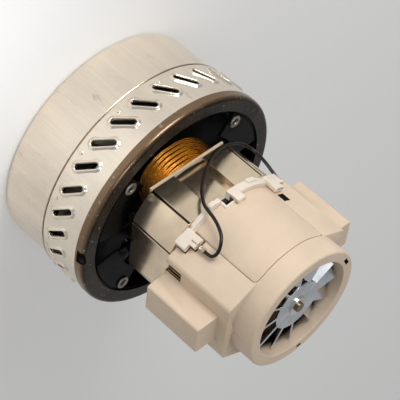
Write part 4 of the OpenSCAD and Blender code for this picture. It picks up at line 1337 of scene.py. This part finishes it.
@dataclass
class FanCase:
    """Can, slotted band and end ring, with the fan stages inside."""

    band_r: float = 71.65
    slot_z: float = 46.8
    slots: int = 29
    phase: float = -55.8
    lean: float = 39.0
    slot_half: float = 5.7
    slot_r: float = 1.6
    rim: tuple[Pair, ...] = (
        (2.4, -0.4), (2.3, 0.0), (1.9, 0.12), (1.5, 0.5), (1.1, 0.88), (0.65, 1.02), (0.25, 0.85),
        (0.06, 0.4), (0.06, -0.9),
    )
    rim_arc: int = 10
    dent_z: float = 38.6
    dents: int = 15
    dent_phase: float = -94.4
    dent_r: float = 1.5
    dent_stretch: float = 1.5
    dent_levels: tuple[Pair, ...] = ((1.1, -0.4), (1.0, 0.0), (0.8, 0.2), (0.5, 0.34), (0.15, 0.4))
    dent_sides: int = 14
    bead: tuple[Pair, ...] = (
        (70.3, 34.2), (71.2, 34.25), (71.75, 34.5), (71.95, 34.85), (71.75, 35.2), (71.3, 35.3), (70.3, 35.3),
    )
    bead_steps: int = 180
    crease: float = 60.0

    def wrapped(self, angle: float, across: float, up: float, out: float, z: float) -> Point:
        """Point on the band.

        Args:
            angle: Angle of the feature, in degrees.
            across: Distance round the band.
            up: Height above the feature.
            out: Distance out of the band.
            z: Height of the feature.

        Returns:
            The point.
        """
        a = math.radians(angle) + across / self.band_r
        r = self.band_r + out
        return around(r, a, z + up)

    def slot_rims(self) -> None:
        """Raised rims round the slots."""
        maker = MeshMaker()
        lean = math.radians(self.lean)
        stations = [(end * self.slot_half, math.pi * (k / (self.rim_arc - 1)) + (0 if end > 0 else math.pi))
                    for end in (1, -1) for k in range(self.rim_arc)]
        for i in range(self.slots):
            angle = self.phase + 360 * i / self.slots
            rings = []
            for shift, turn in stations:
                ring = []
                for gap, out in self.rim:
                    r = self.slot_r + gap
                    along, side = shift + r * math.sin(turn), r * math.cos(turn)
                    across = -along * math.sin(lean) + side * math.cos(lean)
                    up = along * math.cos(lean) + side * math.sin(lean)
                    ring.append(self.wrapped(angle, across, up, out, self.slot_z))
                rings.append(ring)
            maker.rings(rings, closed=True)
        maker.piece("slot_rims", Role(Body.FRAME, BAND_SHEET, Slot.SHEET), self.crease)

    def seam_dents(self) -> None:
        """Small raised marks along the seam."""
        maker = MeshMaker()
        turns = [math.tau * k / self.dent_sides for k in range(self.dent_sides)]
        wide, tall = self.dent_r, self.dent_r * self.dent_stretch
        for i in range(self.dents):
            angle = self.dent_phase + 360 * i / self.dents
            rings = [[self.wrapped(angle, share * wide * math.cos(turn), share * tall * math.sin(turn), out,
                                   self.dent_z) for turn in turns] for share, out in self.dent_levels]
            maker.rings(rings)
        maker.piece("seam_marks", Role(Body.FRAME, BAND_SHEET, Slot.SHEET), self.crease)

    def seam_bead(self) -> None:
        """Rolled bead of the can below the band."""
        maker = MeshMaker()
        maker.lathe(self.bead, self.bead_steps)
        maker.piece("seam_bead", Role(Body.FRAME, CAN_SHEET, Slot.SHEET))

    def build(self, frame: Frame) -> None:
        """Dresses the case.

        Args:
            frame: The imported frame.
        """
        frame.dress(CAN_SHEET, "fan_can")
        frame.dress(BAND_SHEET, "exhaust_band")
        frame.dress(RING_STEEL, "end_ring")
        frame.dress(IMPELLER_SHEET, "impeller_1", "impeller_2", "diffuser")
        self.slot_rims()
        self.seam_dents()
        self.seam_bead()


@dataclass
class MotorBracket:
    """Dish, spider and the eyelets in its arms."""

    eyelet_circle: float = 56.5
    eyelet_angle: float = 46.0
    eyelet_steps: int = 32
    arm_top: float = 68.0
    spider_edge: float = 0.35
    eyelet: tuple[Pair, ...] = (
        (1.9, -4.0), (2.3, -4.0), (2.3, 0.03), (3.8, 0.03), (4.05, 0.35), (4.0, 0.8), (3.6, 1.25),
        (3.1, 1.4), (2.55, 1.25), (2.15, 0.85), (1.9, 0.3),
    )

    def build(self, frame: Frame) -> None:
        """Dresses the bracket.

        Args:
            frame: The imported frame.
        """
        frame.dress(BLACK_PAINT, "bracket_dish")
        frame.eased("motor_spider", Role(Body.FRAME, BLACK_PAINT, Slot.BLACK), EdgeEaser(self.spider_edge))
        maker = MeshMaker()
        at = self.eyelet_angle
        for angle in (at, 180 - at, 180 + at, -at):
            centre = around(self.eyelet_circle, math.radians(angle), self.arm_top)
            maker.lathe(self.eyelet, self.eyelet_steps, centre)
        maker.piece("arm_eyelets", Role(Body.FRAME, EYELET_STEEL, Slot.STEEL, ("eyelets",)))


@dataclass
class FieldWinding:
    """One field coil: a strand wound in two layers round its pole."""

    turns: int = 18
    strand: float = 0.68
    angle: float = 56.0
    spread: float = 22.2
    inner_r: float = 29.95
    layer: float = 1.25
    flare: float = 6.8
    draw: float = 2.0
    fan_overhang: Pair = (3.0, 16.2)
    back_overhang: Pair = (4.0, 15.4)
    power: float = 0.75
    stack: Pair = (72.5, 103.0)
    arch: int = 22
    lead_top: float = 105.0
    sides: int = 8
    stray: float = 0.26
    stray_waves: Point = (2.3, 2.1, 3.7)
    climb_early: float = 0.25
    climb_rate: float = 2.0
    unwound: float = 0.5
    crease: float = 80.0

    def point(self, t: float, step: int) -> Vector:
        """Point of the strand.

        Args:
            t: Turns from the start.
            step: Place in the turn, counted over both arches.

        Returns:
            The point on the front pole.
        """
        at_fan = step < self.arch
        phi = math.pi * (step if at_fan else step - self.arch) / (self.arch - 1)
        swing = math.copysign(abs(math.cos(phi)) ** self.power, math.cos(phi))
        rise = max(math.sin(phi), 0.0) ** self.power
        inward = t if t < self.turns else max(2 * self.turns - t, 0.0)
        share = inward / self.turns
        climb = min(max((t - self.turns + self.climb_early) * self.climb_rate, 0.0), 1.0)
        least, most = self.fan_overhang if at_fan else self.back_overhang
        depth = rise * (most + (least - most) * share)
        waves = sum(wave * by for wave, by in zip(self.stray_waves, (phi, round(t), climb)))
        loose = self.stray * rise * math.sin(waves)
        lean = self.flare / self.fan_overhang[1] if at_fan else -self.draw / self.back_overhang[1]
        r = self.inner_r + self.layer * climb + lean * depth + loose
        a = math.radians((swing if at_fan else -swing) * (self.angle - self.spread * share))
        z = self.stack[0] - depth - loose if at_fan else self.stack[1] + depth + loose
        return Vector((r * math.sin(a), -r * math.cos(a), z))

    def path(self) -> list[Vector]:
        """Centre line of the strand with its two ends.

        Returns:
            Points on the front pole.
        """
        loop = 2 * self.arch
        count = int((2 * self.turns - self.unwound) * loop)
        line = [self.point(i / loop, i % loop) for i in range(count)]
        first, last = line[0].copy(), line[-1].copy()
        first.z = last.z = self.lead_top
        return [first, *line, last]

    def build(self, pole: Pole, name: str, node: str) -> None:
        """Makes the winding on one pole.

        Args:
            pole: Which pole.
            name: Name of the piece.
            node: CAD node that it stands for.
        """
        turn = Matrix.Rotation(math.radians(pole.value), 3, "Z")
        maker = MeshMaker()
        maker.tube([turn @ p for p in self.path()], self.strand / 2, self.sides)
        maker.piece(name, Role(Body.FRAME, COPPER_WIRE, Slot.COPPER, (node,)), self.crease)


@dataclass
class Stator:
    """Lamination stack with its windings, insulator, terminal frame and bolts."""

    lip_r: Pair = (39.25, 40.7)
    lip_z: float = 105.0
    lip_ease: float = 0.6
    lip_corner: float = 0.3
    lip_angles: Pair = (-46.6, -70.0)
    lip_tops: Pair = (106.9, 105.7)
    lip_steps: int = 16
    sill_r: Pair = (38.2, 39.85)
    sill_z: Pair = (108.8, 110.2)
    sill_angles: Pair = (-78.7, -91.2)
    post_width: float = 1.7
    stack_edge: float = 0.45
    insulator_edge: float = 0.25
    block_edge: float = 1.2
    frame_edge: float = 0.35

    def lip(self) -> None:
        """Lip of the terminal frame, which laps over the panel beside the block and edges its notch."""
        maker = MeshMaker()
        (back, front), ease = self.lip_r, self.lip_ease
        corner = ease * self.lip_corner
        loops: list[list[Point]] = []
        for i in range(self.lip_steps + 1):
            share = i / self.lip_steps
            a = math.radians(self.lip_angles[0] + share * (self.lip_angles[1] - self.lip_angles[0]))
            top = self.lip_tops[0] + share * (self.lip_tops[1] - self.lip_tops[0])
            section = [(back, self.lip_z), (front, self.lip_z), (front, top - ease),
                       (front - corner, top - corner), (front - ease, top), (back, top)]
            loops.append([around(r, a, z) for r, z in section])
        maker.rings(loops)
        self.notch_rim(maker)
        maker.piece("frame_lip", Role(Body.FRAME, WHITE, Slot.WHITE))

    def notch_rim(self, maker: MeshMaker) -> None:
        """Sill and post round the notch of the panel.

        Args:
            maker: Collects the mesh.
        """
        (back, front), (low, high), ease = self.sill_r, self.sill_z, self.lip_ease / 2
        start, end = (math.radians(angle) for angle in self.sill_angles)
        section = [(back, low), (front - ease, low), (front, low + ease), (front, high - ease),
                   (front - ease, high), (back, high)]
        turns = [start + (end - start) * i / self.lip_steps for i in range(self.lip_steps + 1)]
        maker.rings([[around(r, a, z) for r, z in section] for a in turns])
        post, slope = start - self.post_width / front, ease / front
        outline = [(back, post), (front - ease, post), (front, post + slope), (front, start - slope),
                   (front - ease, start), (back, start)]
        maker.rings([[around(r, a, z) for r, a in outline] for z in (self.lip_z, high - ease)])

    def build(self, frame: Frame) -> None:
        """Dresses the stator.

        Args:
            frame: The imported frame.
        """
        frame.eased("stator_stack", Role(Body.FRAME, STACK_EDGES, Slot.STACK), BoxCut(WELD_GROOVES),
                    EdgeEaser(self.stack_edge))
        frame.eased("fan_end_insulator", Role(Body.FRAME, INSULATOR, Slot.WHITE),
                    EdgeEaser(self.insulator_edge))
        frame.eased("terminal_frame", Role(Body.FRAME, WHITE, Slot.WHITE), BoxCut((SLIT,)),
                    EdgeEaser(self.block_edge, segments=4, upright=True), EdgeEaser(self.frame_edge))
        self.lip()
        frame.dress(BRIGHT_STEEL, "stator_bolts")
        FieldWinding().build(Pole.FRONT, "front_winding", "field_coil_front")
        FieldWinding().build(Pole.REAR, "rear_winding", "field_coil_rear")


@dataclass
class EndHousing:
    """Cream housing with its panels and the brush gear in it."""

    edge: float = 0.5
    panel_edge: float = 0.3
    core_r: float = 31.6
    spring_end: Point = (55.1, 0.0, 125.9)
    spring_keep: float = 0.53
    spring_crease: float = 60.0
    strip_y: tuple[float, ...] = (-14.5, -11.8)
    strip_x: Pair = (41.85, 44.2)
    strip_z: Pair = (106.2, 115.85)
    strip_half: float = 0.22
    strip_nose: float = 0.1

    def strips(self) -> None:
        """Thin contact strips with eased noses, behind each side window."""
        maker = MeshMaker()
        back, front = self.strip_x
        half, nose = self.strip_half, self.strip_nose
        for side in (1, -1):
            for y in self.strip_y:
                outline = [(back, -half), (front - nose, -half), (front, -half + nose), (front, half - nose),
                           (front - nose, half), (back, half)]
                maker.rings([[(side * x, y + across, z) for x, across in outline] for z in self.strip_z])
        maker.piece("contact_strips", Role(Body.FRAME, STRIP_BRASS, Slot.STEEL, ("brush_strips",)))

    def spring(self, frame: Frame, node: str, name: str) -> None:
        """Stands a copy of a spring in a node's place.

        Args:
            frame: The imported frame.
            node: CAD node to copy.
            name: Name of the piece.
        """
        piece = link(bpy.data.objects.new(name, frame.nodes[node].data.copy()))
        smooth(piece.data, self.spring_crease)
        Role(Body.FRAME, BRIGHT_STEEL, Slot.STEEL, (node,)).cast(piece)
        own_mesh(piece)

    def build(self, frame: Frame) -> None:
        """Dresses the housing.

        Args:
            frame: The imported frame.
        """
        cream = Role(Body.FRAME, CREAM, Slot.CREAM)
        frame.eased("end_housing", cream, BoxCut(KEY_FILLS, fills=True),
                    EdgeEaser(self.edge, segments=3, core_r=self.core_r), BoxCut(KEY_SLOTS))
        frame.eased("front_panel", cream, EdgeEaser(self.panel_edge))
        frame.eased("rear_panel", cream, EdgeEaser(self.panel_edge))
        for hand, side in (("right", 1), ("left", -1)):
            self.spring(frame, f"brush_spring_{hand}", f"{hand}_spring")
        self.strips()
        frame.dress(BRIGHT_STEEL, "rear_bearing_outer", "fan_bearing_outer")
        frame.dress(BRASS, "brush_tube_right", "brush_tube_left", "brush_cap_right", "brush_cap_left")
        frame.dress(CARBON, "carbon_brush_right", "carbon_brush_left")


@dataclass
class Rotor:
    """Shaft with its armature, commutator, bearings' inner rings and cooling fan."""

    fan_edge: float = 0.15

    def build(self, frame: Frame) -> None:
        """Dresses the rotor.

        Args:
            frame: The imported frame.
        """
        frame.dress(SHAFT_STEEL, "shaft")
        frame.dress(FERRULE_STEEL, "fan_ferrule")
        frame.dress(BRIGHT_STEEL, "impeller_spacer", "bearing_spacer", "clamp_washer", "shaft_nut",
                    "fan_bearing_inner", "rear_bearing_inner")
        frame.dress(STACK_EDGES, "armature_core")
        frame.dress(ARMATURE_WIRE, "armature_winding")
        frame.dress(COPPER_BAR, "commutator")
        frame.dress(PHENOLIC, "commutator_hub")
        frame.eased("cooling_fan", Role(Body.ROTOR, FAN_SHEET, Slot.FAN), EdgeEaser(self.fan_edge))


def main() -> None:
    """Builds the studio and the motor."""
    logging.basicConfig(level=logging.INFO, format="%(name)s: %(message)s")
    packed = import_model()
    frame = Frame(packed["nodes"])
    Studio().build()
    Lead().build()
    FanCase().build(frame)
    MotorBracket().build(frame)
    Stator().build(frame)
    EndHousing().build(frame)
    Rotor().build(frame)


if __name__ == "__main__":
    main()
